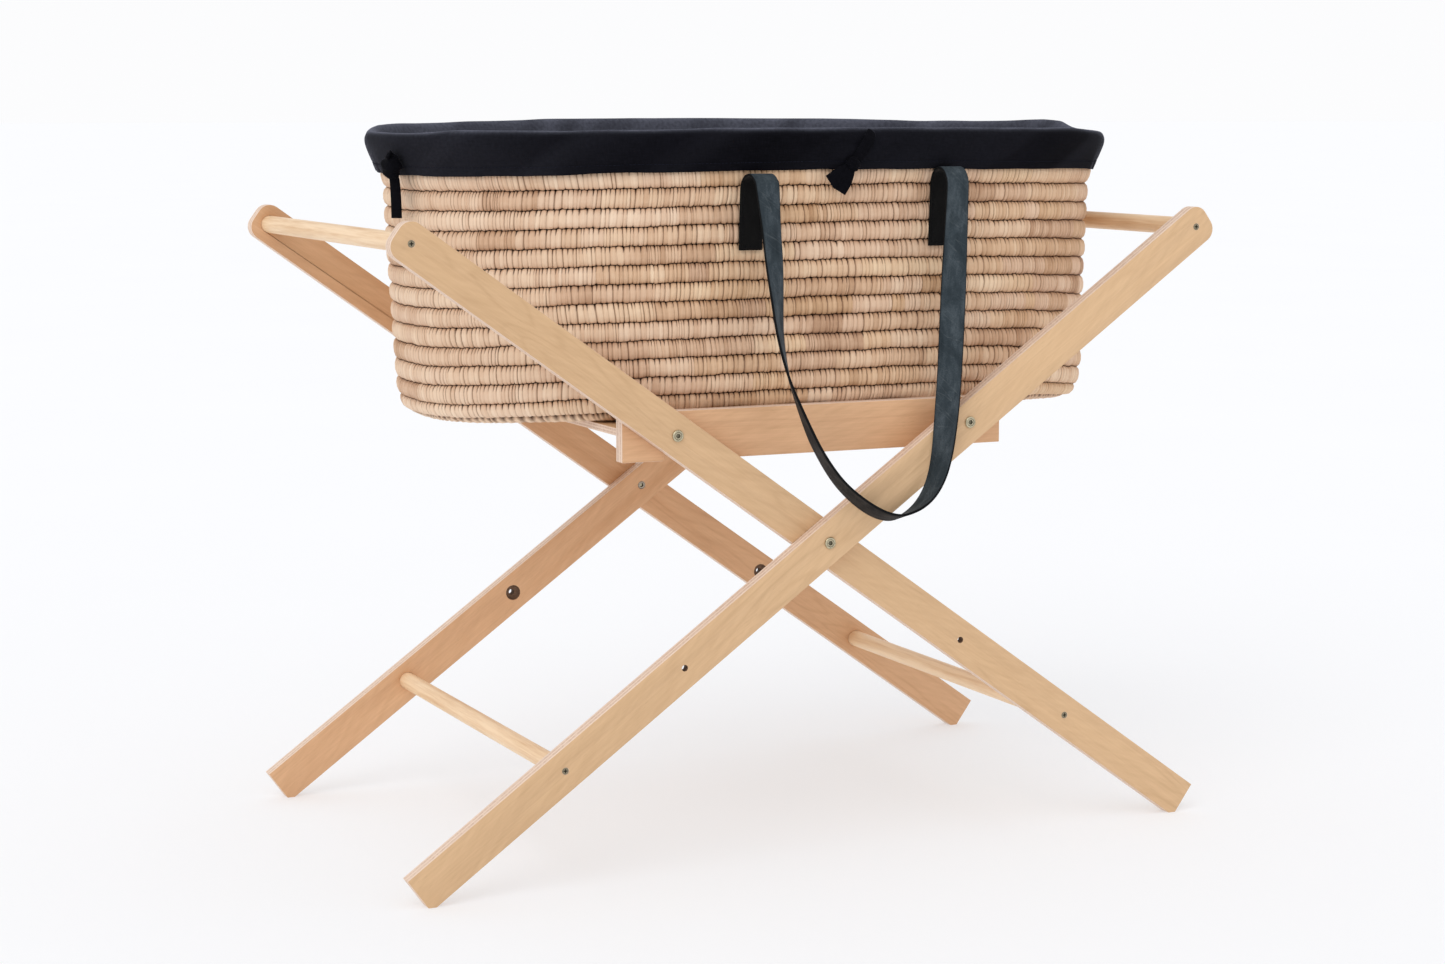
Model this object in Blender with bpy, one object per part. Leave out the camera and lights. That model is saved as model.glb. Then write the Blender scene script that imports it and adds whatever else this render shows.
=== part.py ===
"""Bassinet on stand: a coiled palm-leaf basket with a cloth liner and two leather
handles, on a crossing plywood stand with a lift-off platform.

Units are metres, +Z up. X runs along the basket, -Y is the front of the object.
The origin is on the floor, midway between the four feet.
"""

import math

import bmesh
import bpy
from mathutils import Matrix, Vector

# ---------------------------------------------------------------- dimensions
PLANK_W = 0.0405          # width of a leg plank
PLANK_T = 0.0155          # thickness of a leg plank and of a platform rail
THETA = math.radians(35.63)   # slope of every leg in use
PIVOT_Z = 0.3310          # height of the crossing bolts
OUTER_Y = 0.2615          # outer face of the outer leg planks
PLAY_Y = 0.0004           # play between the two crossing planks
RAIL_PLAY = 0.0006        # play between the inner plank and the rail
TOP_REACH = 0.5377        # crossing bolt to upper crossbar
TOP_OVER = 0.0180         # plank beyond the upper crossbar
FOOT_REACH = 0.5467       # crossing bolt to the sawn foot end
LOW_REACH = 0.3586        # crossing bolt to lower crossbar
PEG_REACH = 0.1996        # crossing bolt to a platform peg, up or down
TOP_ROUND = 0.0140        # corner radius of a plank's top end
BAR_R = 0.0095            # radius of the crossbars
BAR_IN = 0.0050           # how far a crossbar enters each plank

BOLT_HEAD_R, BOLT_HEAD_T = 0.0060, 0.0016
BOLT_R = 0.0030
PEG_R, PEG_COLLAR_R, PEG_COLLAR_T = 0.0050, 0.0084, 0.0050
INSERT_R, INSERT_L = 0.0044, 0.0125
SCREW_HEAD_R, SCREW_R, SCREW_L = 0.0034, 0.0016, 0.0400
GAP = 0.0003              # clearance between touching pieces

RAIL_X0, RAIL_X1 = -0.2157, 0.2157
RAIL_Z0, RAIL_Z1 = 0.4208, 0.4705
NOTCH_HALF = 0.0082       # half width of the notch that drops over a peg
SLAT_T, SLAT_TOP, SLAT_W, SLAT_COUNT = 0.0077, 0.4546, 0.0520, 5

BASKET_X = 0.0256         # the basket sits a little off centre
BASKET_N = 2.5            # exponent of the oval plan
BASKET_BOTTOM = 0.4556
BASKET_WALL = 0.0110
RING = 48                 # points round an oval
END_DROOP = 0.0120        # the ends hang below the platform
RIM_CROWN = 0.0047        # the rim rises towards the middle of each side
RIM_TILT = 0.0038         # and is a little higher at the back
LINER_T = 0.0020
MATTRESS_T = 0.0350

STRAP_W, STRAP_T = 0.0260, 0.0030
HANDLE_AXIS_Y, HANDLE_AXIS_Z = 0.2430, 0.6900
TAB_X = (-0.0712, 0.1465)
TAB_Z0, TAB_Z1 = 0.6290, 0.6893

COLOURS = {
    "ply_face": ((0.60, 0.40, 0.22), 0.55, 0.0),
    "ply_inner": ((0.52, 0.32, 0.17), 0.55, 0.0),
    "dowel": ((0.72, 0.52, 0.32), 0.50, 0.0),
    "brass": ((0.55, 0.46, 0.28), 0.30, 1.0),
    "steel": ((0.60, 0.58, 0.54), 0.28, 1.0),
    "palm": ((0.72, 0.53, 0.34), 0.75, 0.0),
    "navy_cloth": ((0.010, 0.011, 0.020), 0.90, 0.0),
    "mattress_cloth": ((0.70, 0.68, 0.63), 0.90, 0.0),
    "nubuck": ((0.045, 0.080, 0.110), 0.80, 0.0),
}

SIN, COS = math.sin(THETA), math.cos(THETA)
INNER_Y = OUTER_Y - PLANK_T - PLAY_Y          # outer face of the inner planks
RAIL_Y = INNER_Y - PLANK_T - RAIL_PLAY        # outer face of the rails


# ---------------------------------------------------------------- helpers
def clear_scene():
    for ob in list(bpy.data.objects):
        bpy.data.objects.remove(ob, do_unlink=True)


def material(key):
    mat = bpy.data.materials.get(key)
    if mat is None:
        colour, rough, metal = COLOURS[key]
        mat = bpy.data.materials.new(key)
        mat.use_nodes = True
        node = mat.node_tree.nodes.get("Principled BSDF")
        node.inputs["Base Color"].default_value = (*colour, 1.0)
        node.inputs["Roughness"].default_value = rough
        node.inputs["Metallic"].default_value = metal
    return mat


def add_object(name, bm, mat_key, smooth=False, location=(0, 0, 0), rotation=(0, 0, 0), parent=None):
    bmesh.ops.recalc_face_normals(bm, faces=bm.faces)
    mesh = bpy.data.meshes.new(name)
    bm.to_mesh(mesh)
    bm.free()
    if smooth:
        mesh.shade_smooth()
        mesh.set_sharp_from_angle(angle=math.radians(35))
    ob = bpy.data.objects.new(name, mesh)
    bpy.context.scene.collection.objects.link(ob)
    if mat_key:
        mesh.materials.append(material(mat_key))
    ob.location = location
    ob.rotation_euler = rotation
    if parent is not None:
        ob.parent = parent
    return ob


def add_empty(name, location):
    ob = bpy.data.objects.new(name, None)
    ob.location = location
    bpy.context.scene.collection.objects.link(ob)
    return ob


def loft(bm, rings, cap_start=True, cap_end=True):
    """Joins rings of equal length, each a closed loop of points, into one skin."""
    made = [[bm.verts.new(p) for p in ring] for ring in rings]
    n = len(made[0])
    for a, b in zip(made, made[1:]):
        for i in range(n):
            j = (i + 1) % n
            bm.faces.new((a[i], a[j], b[j], b[i]))
    if cap_start:
        bm.faces.new(list(reversed(made[0])))
    if cap_end:
        bm.faces.new(made[-1])
    return made


def fill_across(bm, ring):
    """Closes an oval ring with strips that run straight across it, so that floors that
    follow the same droop lie parallel."""
    n = len(ring)
    for i in range(n // 2):
        a, b, c, d = ring[i], ring[i + 1], ring[n - i - 1], ring[(n - i) % n]
        corners = [a, b]
        if c is not b:
            corners.append(c)
        if d is not a:
            corners.append(d)
        bm.faces.new(corners)


def circle(r, n, y):
    """A circle about the Y axis."""
    return [(r * math.cos(2 * math.pi * (i + 0.5) / n), y, r * math.sin(2 * math.pi * (i + 0.5) / n)) for i in range(n)]


def turned(profile, n):
    """A solid turned about the Y axis from (radius, y) pairs, capped at both ends."""
    bm = bmesh.new()
    loft(bm, [circle(r, n, y) for r, y in profile])
    return bm


def cutter(name, bm, location, rotation, parent=None):
    ob = add_object(name, bm, None, location=location, rotation=rotation, parent=parent)
    ob.hide_render = True
    ob.display_type = "WIRE"
    return ob


def cut(target, tool):
    mod = target.modifiers.new("cut_" + tool.name, "BOOLEAN")
    mod.operation = "DIFFERENCE"
    mod.solver = "EXACT"
    mod.object = tool


def prism(outline, y0, y1):
    """An outline of (x, z) points extruded along Y."""
    bm = bmesh.new()
    loft(bm, [[(x, y0, z) for x, z in outline], [(x, y1, z) for x, z in outline]])
    return bm


def clip_below(points, inside):
    """Cuts a closed outline where inside(point) falls below zero."""
    out = []
    for i, p in enumerate(points):
        q = points[(i + 1) % len(points)]
        a, b = inside(p), inside(q)
        if a >= 0:
            out.append(p)
        if (a >= 0) != (b >= 0):
            t = a / (a - b)
            out.append((p[0] + t * (q[0] - p[0]), p[1] + t * (q[1] - p[1])))
    return out


# ---------------------------------------------------------------- the crossing frames
def plank_outline(side):
    """Foot end sawn square and flattened where it meets the floor, top end rounded.
    side is +1 for the planks that rise to the right and -1 for the others."""
    h = PLANK_W / 2
    end = TOP_REACH + TOP_OVER
    pts = [(-FOOT_REACH, -h)]
    for k in range(7):
        a = -math.pi / 2 + k * math.pi / 12
        pts.append((end - TOP_ROUND + TOP_ROUND * math.cos(a), -h + TOP_ROUND + TOP_ROUND * math.sin(a)))
    for k in range(7):
        a = k * math.pi / 12
        pts.append((end - TOP_ROUND + TOP_ROUND * math.cos(a), h - TOP_ROUND + TOP_ROUND * math.sin(a)))
    pts.append((-FOOT_REACH, h))
    return clip_below(pts, lambda p: PIVOT_Z + p[0] * SIN + side * p[1] * COS)


def frame_angle(side):
    """Turn about Y that lays local +X along a plank's rising end."""
    return -THETA if side > 0 else -(math.pi - THETA)


def on_plank(side, reach):
    """World X and Z of a point on a plank's centre line, reach up from the bolt."""
    return side * reach * COS, PIVOT_Z + reach * SIN


def make_plank(name, side, face, outer):
    """face is -1 at the front and +1 at the back; outer planks lie outside the inner ones."""
    y_out = face * (OUTER_Y if outer else INNER_Y)
    y_in = y_out - face * PLANK_T
    lo, hi = min(y_out, y_in), max(y_out, y_in)
    angle = frame_angle(side)
    plank = add_object(name, prism(plank_outline(side), lo, hi), "ply_face",
                       location=(0, 0, PIVOT_Z), rotation=(0, angle, 0))

    def drill(label, reach, profile, n=14):
        tool = cutter(f"{name}_{label}", turned(profile, n),
                      (side * reach * COS, 0, PIVOT_Z + reach * SIN), (0, 0, 0))
        cut(plank, tool)

    past_out, past_in = y_out + face * 0.004, y_in - face * 0.004

    def stations(*pairs):
        """Profile in rising y, whichever face the plank is on."""
        return sorted(pairs, key=lambda s: s[1])

    bolt = BOLT_R + GAP
    if outer:
        drill("pivot_hole", 0.0, stations((bolt, past_out), (bolt, past_in)))
    else:
        bore = INSERT_R + GAP
        stop = y_in + face * (INSERT_L + GAP)
        tiny = face * 0.00001
        drill("pivot_hole", 0.0, stations((bolt, past_out), (bolt, stop + tiny), (bore, stop - tiny), (bore, past_in)))
    for label, reach in (("peg_hole", PEG_REACH), ("lower_peg_hole", -PEG_REACH)):
        seat = y_in + face * (PEG_COLLAR_T + GAP)
        collar = PEG_COLLAR_R + GAP
        tiny = face * 0.00001
        drill(label, reach, stations((bolt, past_out), (bolt, seat + tiny), (collar, seat - tiny), (collar, past_in)))
    for label, reach in (("upper_bar_seat", TOP_REACH), ("lower_bar_seat", -LOW_REACH)):
        seat = y_in + face * (BAR_IN + GAP)
        bar = BAR_R + GAP
        head = SCREW_HEAD_R + GAP
        shank = SCREW_R + GAP
        neck = y_out - face * 0.0026
        tiny = face * 0.00001
        drill(label, reach, stations((head, past_out), (head, y_out - face * 0.0006), (shank, neck),
                                     (shank, seat + tiny), (bar, seat - tiny), (bar, past_in)))
    return plank


def make_crossbar(name, side, reach, y_front, y_back):
    """A turned rail between two planks, its ends let into them, with a pilot hole each end."""
    x, z = on_plank(side, reach)
    chamfer = 0.0008
    y0, y1 = y_front - BAR_IN, y_back + BAR_IN
    bar = add_object(name, turned([(BAR_R - chamfer, y0), (BAR_R, y0 + chamfer), (BAR_R, y1 - chamfer), (BAR_R - chamfer, y1)], 20),
                     "dowel", smooth=True, location=(x, 0, z))
    for label, y, d in (("front", y0, 1), ("back", y1, -1)):
        a, b = y - d * 0.004, y + d * (SCREW_L - PLANK_T + BAR_IN + 0.001)
        tool = cutter(f"{name}_{label}_pilot", turned([(SCREW_R + GAP, min(a, b)), (SCREW_R + GAP, max(a, b))], 10), (x, 0, z), (0, 0, 0))
        cut(bar, tool)
    return bar


def make_screw(name, side, reach, face, outer):
    """Countersunk wood screw through a plank into a crossbar's end."""
    x, z = on_plank(side, reach)
    y_out = face * (OUTER_Y if outer else INNER_Y)
    flush = y_out - face * 0.0002
    tip = y_out - face * SCREW_L
    prof = [(SCREW_HEAD_R, flush), (SCREW_HEAD_R, flush - face * 0.0003),
            (SCREW_R, y_out - face * (SCREW_HEAD_R - SCREW_R + 0.0004)),
            (SCREW_R, tip + face * 0.004), (0.0004, tip)]
    return add_object(name, turned(sorted(prof, key=lambda s: s[1]), 10), "brass", smooth=True, location=(x, 0, z))


def hex_socket(name, x, z, y_face, face, depth, across):
    """The recess that an Allen key turns."""
    r = across / math.sqrt(3)
    a, b = y_face + face * 0.001, y_face - face * depth
    return cutter(name, turned([(r, min(a, b)), (r, max(a, b))], 6), (x, 0, z), (0, 0, 0))


def make_bolt(name, side, reach, face, outer, length):
    """Low button-headed socket bolt; its head stands on the plank's outer face."""
    x, z = on_plank(side, reach)
    y_out = face * (OUTER_Y if outer else INNER_Y)
    seat = y_out + face * 0.0002
    crown = seat + face * BOLT_HEAD_T
    prof = [(BOLT_HEAD_R - 0.0007, crown), (BOLT_HEAD_R, crown - face * 0.0005), (BOLT_HEAD_R, seat),
            (BOLT_R, seat - face * 0.00001), (BOLT_R, y_out - face * (length - 0.001)), (BOLT_R - 0.0006, y_out - face * length)]
    bolt = add_object(name, turned(sorted(prof, key=lambda s: s[1]), 16), "brass", smooth=True, location=(x, 0, z))
    cut(bolt, hex_socket(name + "_socket", x, z, crown, face, 0.0026, 0.0040))
    return bolt


def make_insert(name, face):
    """Threaded insert in the inner plank, which the crossing bolt screws into."""
    y_in = face * (INNER_Y - PLANK_T)
    mouth = y_in + face * 0.0003
    back = y_in + face * INSERT_L
    insert = add_object(name, turned(sorted([(INSERT_R - 0.0004, mouth), (INSERT_R, mouth + face * 0.0004), (INSERT_R, back)], key=lambda s: s[1]), 16),
                        "steel", smooth=True, location=(0, 0, PIVOT_Z))
    a, b = mouth - face * 0.003, back + face * 0.003
    cut(insert, cutter(name + "_bore", turned([(BOLT_R + GAP, min(a, b)), (BOLT_R + GAP, max(a, b))], 12), (0, 0, PIVOT_Z), (0, 0, 0)))
    return insert


def make_peg(name, side, face, outer):
    """Collared sleeve that carries the platform; its bolt enters through the plank."""
    x, z = on_plank(side, PEG_REACH)
    y_in = face * ((OUTER_Y if outer else INNER_Y) - PLANK_T)
    back = y_in + face * PEG_COLLAR_T
    step = y_in + face * 0.0003
    tip = face * (RAIL_Y - PLANK_T + 0.0006)
    prof = [(PEG_COLLAR_R, back), (PEG_COLLAR_R, step), (PEG_R, step - face * 0.00001),
            (PEG_R, tip + face * 0.0006), (PEG_R - 0.0006, tip)]
    peg = add_object(name, turned(sorted(prof, key=lambda s: s[1]), 16), "steel", smooth=True, location=(x, 0, z))
    a, b = back + face * 0.003, back - face * 0.0125
    cut(peg, cutter(name + "_bore", turned([(BOLT_R + GAP, min(a, b)), (BOLT_R + GAP, max(a, b))], 12), (x, 0, z), (0, 0, 0)))
    return peg


# ---------------------------------------------------------------- the platform
def make_rail(name, face):
    """Edge rail with a notch open downwards over each peg."""
    px, pz = on_plank(1, PEG_REACH)
    top = pz + PEG_R + GAP
    pts = [(RAIL_X0, RAIL_Z0)]
    for cx in (-px, px):
        flare = 0.0008
        pts.append((cx - NOTCH_HALF - flare, RAIL_Z0))
        pts.append((cx - NOTCH_HALF, RAIL_Z0 + flare))
        r = 0.004
        for k in range(5):
            a = math.pi - k * math.pi / 8
            pts.append((cx - NOTCH_HALF + r + r * math.cos(a), top - r + r * math.sin(a)))
        for k in range(5):
            a = math.pi / 2 - k * math.pi / 8
            pts.append((cx + NOTCH_HALF - r + r * math.cos(a), top - r + r * math.sin(a)))
        pts.append((cx + NOTCH_HALF, RAIL_Z0 + flare))
        pts.append((cx + NOTCH_HALF + flare, RAIL_Z0))
    pts += [(RAIL_X1, RAIL_Z0), (RAIL_X1, RAIL_Z1), (RAIL_X0, RAIL_Z1)]
    a, b = face * RAIL_Y, face * (RAIL_Y - PLANK_T)
    return add_object(name, prism(pts, min(a, b), max(a, b)), "ply_inner")


def make_slat(name, x_centre):
    half = RAIL_Y - PLANK_T - GAP
    x0, x1 = x_centre - SLAT_W / 2, x_centre + SLAT_W / 2
    z0, z1 = SLAT_TOP - SLAT_T, SLAT_TOP
    return add_object(name, prism([(x0, z0), (x1, z0), (x1, z1), (x0, z1)], -half, half), "ply_face")


# ---------------------------------------------------------------- the basket
WALL = [  # half width and height of the outer wall, from the flat base up to the rolled rim
    (0.1900, 0.4556), (0.2000, 0.4580), (0.2072, 0.4640), (0.2108, 0.4730), (0.2135, 0.4900),
    (0.2200, 0.6000), (0.2255, 0.6900), (0.2272, 0.7000), (0.2345, 0.7200), (0.2390, 0.7350),
    (0.2392, 0.7420), (0.2360, 0.7472),
]


def length_over_width(z):
    """How much longer than wide the oval is, half against half, at a height."""
    if z < 0.50:
        return 0.1765
    if z < 0.69:
        return 0.1765 - (z - 0.50) / 0.19 * 0.0054
    return 0.1711 + min(1.0, (z - 0.69) / 0.05) * 0.0034


def oval(half_width, z, count=RING):
    """A point ring of the basket's plan, with the ends' droop and the rim's crown."""
    a, b = half_width + length_over_width(z), half_width
    up = max(0.0, min(1.0, (z - 0.60) / 0.15))
    low = max(0.0, min(1.0, (0.70 - z) / 0.245))
    ring = []
    for i in range(count):
        t = 2 * math.pi * i / count
        c, s = math.cos(t), math.sin(t)
        x = a * math.copysign(abs(c) ** (2 / BASKET_N), c)
        y = b * math.copysign(abs(s) ** (2 / BASKET_N), s)
        over = max(0.0, (abs(x) - 0.20) / 0.19)
        dz = -END_DROOP * low * over ** 2 + up * (RIM_CROWN * (1 - (x / a) ** 2) + RIM_TILT * y / b)
        ring.append((BASKET_X + x, y, z + dz))
    return ring


def shifted(profile, distance):
    """The profile moved along its own normals; positive is outwards."""
    out = []
    for i, (b, z) in enumerate(profile):
        p = profile[max(0, i - 1)]
        q = profile[min(len(profile) - 1, i + 1)]
        tx, tz = q[0] - p[0], q[1] - p[1]
        n = math.hypot(tx, tz)
        out.append((b + distance * tz / n, z - distance * tx / n))
    return out


def inside_wall():
    """The inner face of the wall, from the floor up to the rim's crest."""
    floor = BASKET_BOTTOM + BASKET_WALL
    side = [p for p in shifted(WALL, -BASKET_WALL)[1:] if p[1] < 0.730]
    return [(side[0][0] - 0.0110, floor)] + side + [(0.2268, 0.7340), (0.2290, 0.7410), (0.2322, 0.7458)]


def make_basket():
    rings = [oval(b, z) for b, z in WALL]
    rings += [oval(b, z) for b, z in reversed(inside_wall())]
    bm = bmesh.new()
    made = loft(bm, rings, False, False)
    fill_across(bm, made[0])
    fill_across(bm, made[-1])
    return add_object("basket_shell", bm, "palm", smooth=True)


def make_liner():
    """A cloth bag: base and sides inside the basket, over the rim and down outside it."""
    surface = inside_wall() + [p for p in reversed(WALL) if p[1] >= 0.6999]
    floor = BASKET_BOTTOM + BASKET_WALL

    def skin(distance):
        pts = shifted(surface, -distance)
        pts[0] = (surface[0][0] - 0.5 * distance, floor + distance)
        pts[-1] = (pts[-1][0], 0.6985)
        return pts

    under, over = skin(GAP), skin(GAP + LINER_T)
    rings = [oval(b, z) for b, z in under] + [oval(b, z) for b, z in reversed(over)]
    bm = bmesh.new()
    made = loft(bm, rings, False, False)
    fill_across(bm, made[0])
    fill_across(bm, made[-1])
    return add_object("liner", bm, "navy_cloth", smooth=True)


def make_mattress():
    base = BASKET_BOTTOM + BASKET_WALL + 2 * GAP + LINER_T
    prof = [(0.1600, base), (0.1740, base + 0.004), (0.1800, base + 0.012), (0.1810, base + 0.022),
            (0.1750, base + 0.031), (0.1600, base + MATTRESS_T)]
    rings = []
    for b, z in prof:
        ring = []
        for i in range(32):
            t = 2 * math.pi * i / 32
            c, s = math.cos(t), math.sin(t)
            ring.append((BASKET_X + (b + 0.172) * math.copysign(abs(c) ** (2 / BASKET_N), c),
                         b * math.copysign(abs(s) ** (2 / BASKET_N), s), z))
        rings.append(ring)
    bm = bmesh.new()
    loft(bm, rings)
    return add_object("mattress", bm, "mattress_cloth", smooth=True)


def wall_y(x, z, out=0.0):
    """Half width of the outer wall at a place along the basket."""
    pts = WALL
    b = pts[0][0]
    for (b0, z0), (b1, z1) in zip(pts, pts[1:]):
        if z0 <= z <= z1:
            b = b0 + (b1 - b0) * (z - z0) / (z1 - z0)
    b += out
    a = b + length_over_width(z)
    return b * (1 - min(1.0, abs((x - BASKET_X) / a)) ** BASKET_N) ** (1 / BASKET_N)


def sweep(stations, width, thick):
    """A flat strap through stations of (point, width direction)."""
    pts = [Vector(p) for p, _ in stations]
    rings = []
    for i, (p, across) in enumerate(stations):
        tangent = (pts[min(i + 1, len(pts) - 1)] - pts[max(i - 1, 0)]).normalized()
        across = Vector(across)
        across = (across - tangent * across.dot(tangent)).normalized()
        normal = tangent.cross(across)
        p = Vector(p)
        rings.append([tuple(p + across * (width / 2 * u) + normal * (thick / 2 * v))
                      for u, v in ((-1, -1), (1, -1), (1, 1), (-1, 1))])
    bm = bmesh.new()
    loft(bm, rings)
    return bm


# The hanging loop of the front handle: X, distance in front of the middle, Z, and how far
# the strap's width has turned from lying along X (0) to pointing out from the basket (1).
LOOP = [
    (-0.0690, 0.2585, 0.6900, 0.00), (-0.0660, 0.2590, 0.6550, 0.20), (-0.0630, 0.2600, 0.6200, 0.26),
    (-0.0600, 0.2615, 0.5850, 0.41), (-0.0569, 0.2640, 0.5500, 0.57), (-0.0515, 0.2670, 0.5200, 0.68),
    (-0.0440, 0.2700, 0.4940, 0.78), (-0.0258, 0.2730, 0.4490, 0.92), (-0.0120, 0.2745, 0.4230, 0.98),
    (0.0035, 0.2760, 0.4005, 1.05), (0.0190, 0.2770, 0.3840, 1.12), (0.0360, 0.2780, 0.3705, 1.18),
    (0.0520, 0.2785, 0.3620, 1.21), (0.0680, 0.2785, 0.3590, 1.20), (0.0828, 0.2783, 0.3630, 1.12),
    (0.0961, 0.2780, 0.3710, 1.02), (0.1071, 0.2775, 0.3830, 0.91), (0.1158, 0.2768, 0.4000, 0.80),
    (0.1218, 0.2757, 0.4220, 0.70), (0.1259, 0.2740, 0.4460, 0.60), (0.1299, 0.2712, 0.4720, 0.50),
    (0.1338, 0.2682, 0.5050, 0.40), (0.1371, 0.2655, 0.5440, 0.31), (0.1400, 0.2632, 0.5850, 0.22),
    (0.1428, 0.2610, 0.6260, 0.12), (0.1450, 0.2594, 0.6600, 0.05), (0.1465, 0.2585, 0.6900, 0.00),
]


def make_handle(name, face, parent):
    """The loose part of a strap, from where it turns over at one end to the other end."""
    stations = []
    count = len(LOOP)
    for i, (x, y, z, turn) in enumerate(LOOP):
        a = turn * math.pi / 2
        # the strap's outer side faces the inside of the loop at its lowest point
        stations.append(((x, face * y, z), (math.cos(a), face * math.sin(a) * (1 if x < 0.07 else -1), 0)))
    # the width keeps one sense along the whole strap
    fixed = []
    last = None
    for i, (p, across) in enumerate(stations):
        here = Vector(p)
        nxt = Vector(stations[min(i + 1, count - 1)][0])
        prv = Vector(stations[max(i - 1, 0)][0])
        tangent = (nxt - prv).normalized()
        normal_start = Vector((0, face, 0))
        turn = LOOP[i][3] * math.pi / 2
        # outward normal of the strap turns from facing out to facing the loop's inside
        inside = Vector((0, -face, 0)).cross(tangent)
        if inside.dot(Vector((0.04, 0, 0.55)) - Vector((here.x, 0, here.z))) < 0:
            inside = -inside
        normal = normal_start * math.cos(turn) + inside.normalized() * math.sin(turn)
        width_dir = tangent.cross(normal).normalized()
        if last is not None and width_dir.dot(last) < 0:
            width_dir = -width_dir
        last = width_dir
        fixed.append((tuple(here), tuple(width_dir)))
    bm = sweep(fixed, STRAP_W, STRAP_T)
    bmesh.ops.translate(bm, verts=bm.verts, vec=Vector((0, -face * HANDLE_AXIS_Y, -HANDLE_AXIS_Z)))
    return add_object(name, bm, "nubuck", smooth=True, location=(0, 0, 0), parent=parent)


def make_tab(name, x, face):
    """The sewn end of a strap, flat against the wall."""
    count = 4
    stations = []
    for i in range(count):
        z = TAB_Z0 + (TAB_Z1 - TAB_Z0) * i / (count - 1)
        near = max(wall_y(x - STRAP_W / 2, z), wall_y(x + STRAP_W / 2, z), wall_y(x, z))
        stations.append(((x, face * (near + 0.0004 + STRAP_T / 2), z), (1, 0, 0)))
    return add_object(name, sweep(stations, STRAP_W, STRAP_T), "nubuck")


def make_tie(name, base, down, out, length_up, length_down, up=None):
    """A knotted cloth tie: a flat end, the knot, and a flat end the other way.
    base is the knot's centre, down the direction its long end hangs, out its outward normal,
    and up the direction of the short end, straight on from the long one if it isn't given."""
    down, out = Vector(down).normalized(), Vector(out).normalized()
    up = -down if up is None else Vector(up).normalized()
    side = down.cross(out).normalized()
    shape = [(-length_up, 0.0065, 0.0010), (-0.011, 0.0070, 0.0014), (-0.007, 0.0062, 0.0042),
             (0.0, 0.0068, 0.0052), (0.007, 0.0060, 0.0042), (0.011, 0.0066, 0.0014),
             (length_down, 0.0065, 0.0010)]
    rings = []
    for t, w, h in shape:
        along = down if t >= 0 else up
        face = side.cross(along).normalized()
        if face.dot(out) < 0:
            face = -face
        centre = Vector(base) + along * abs(t) - face * (0.0052 - h)
        rings.append([tuple(centre + side * (w * math.cos(math.pi * k / 4)) + face * (h * math.sin(math.pi * k / 4)))
                      for k in range(8)])
    bm = bmesh.new()
    loft(bm, rings)
    return add_object(name, bm, "navy_cloth", smooth=True)


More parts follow.
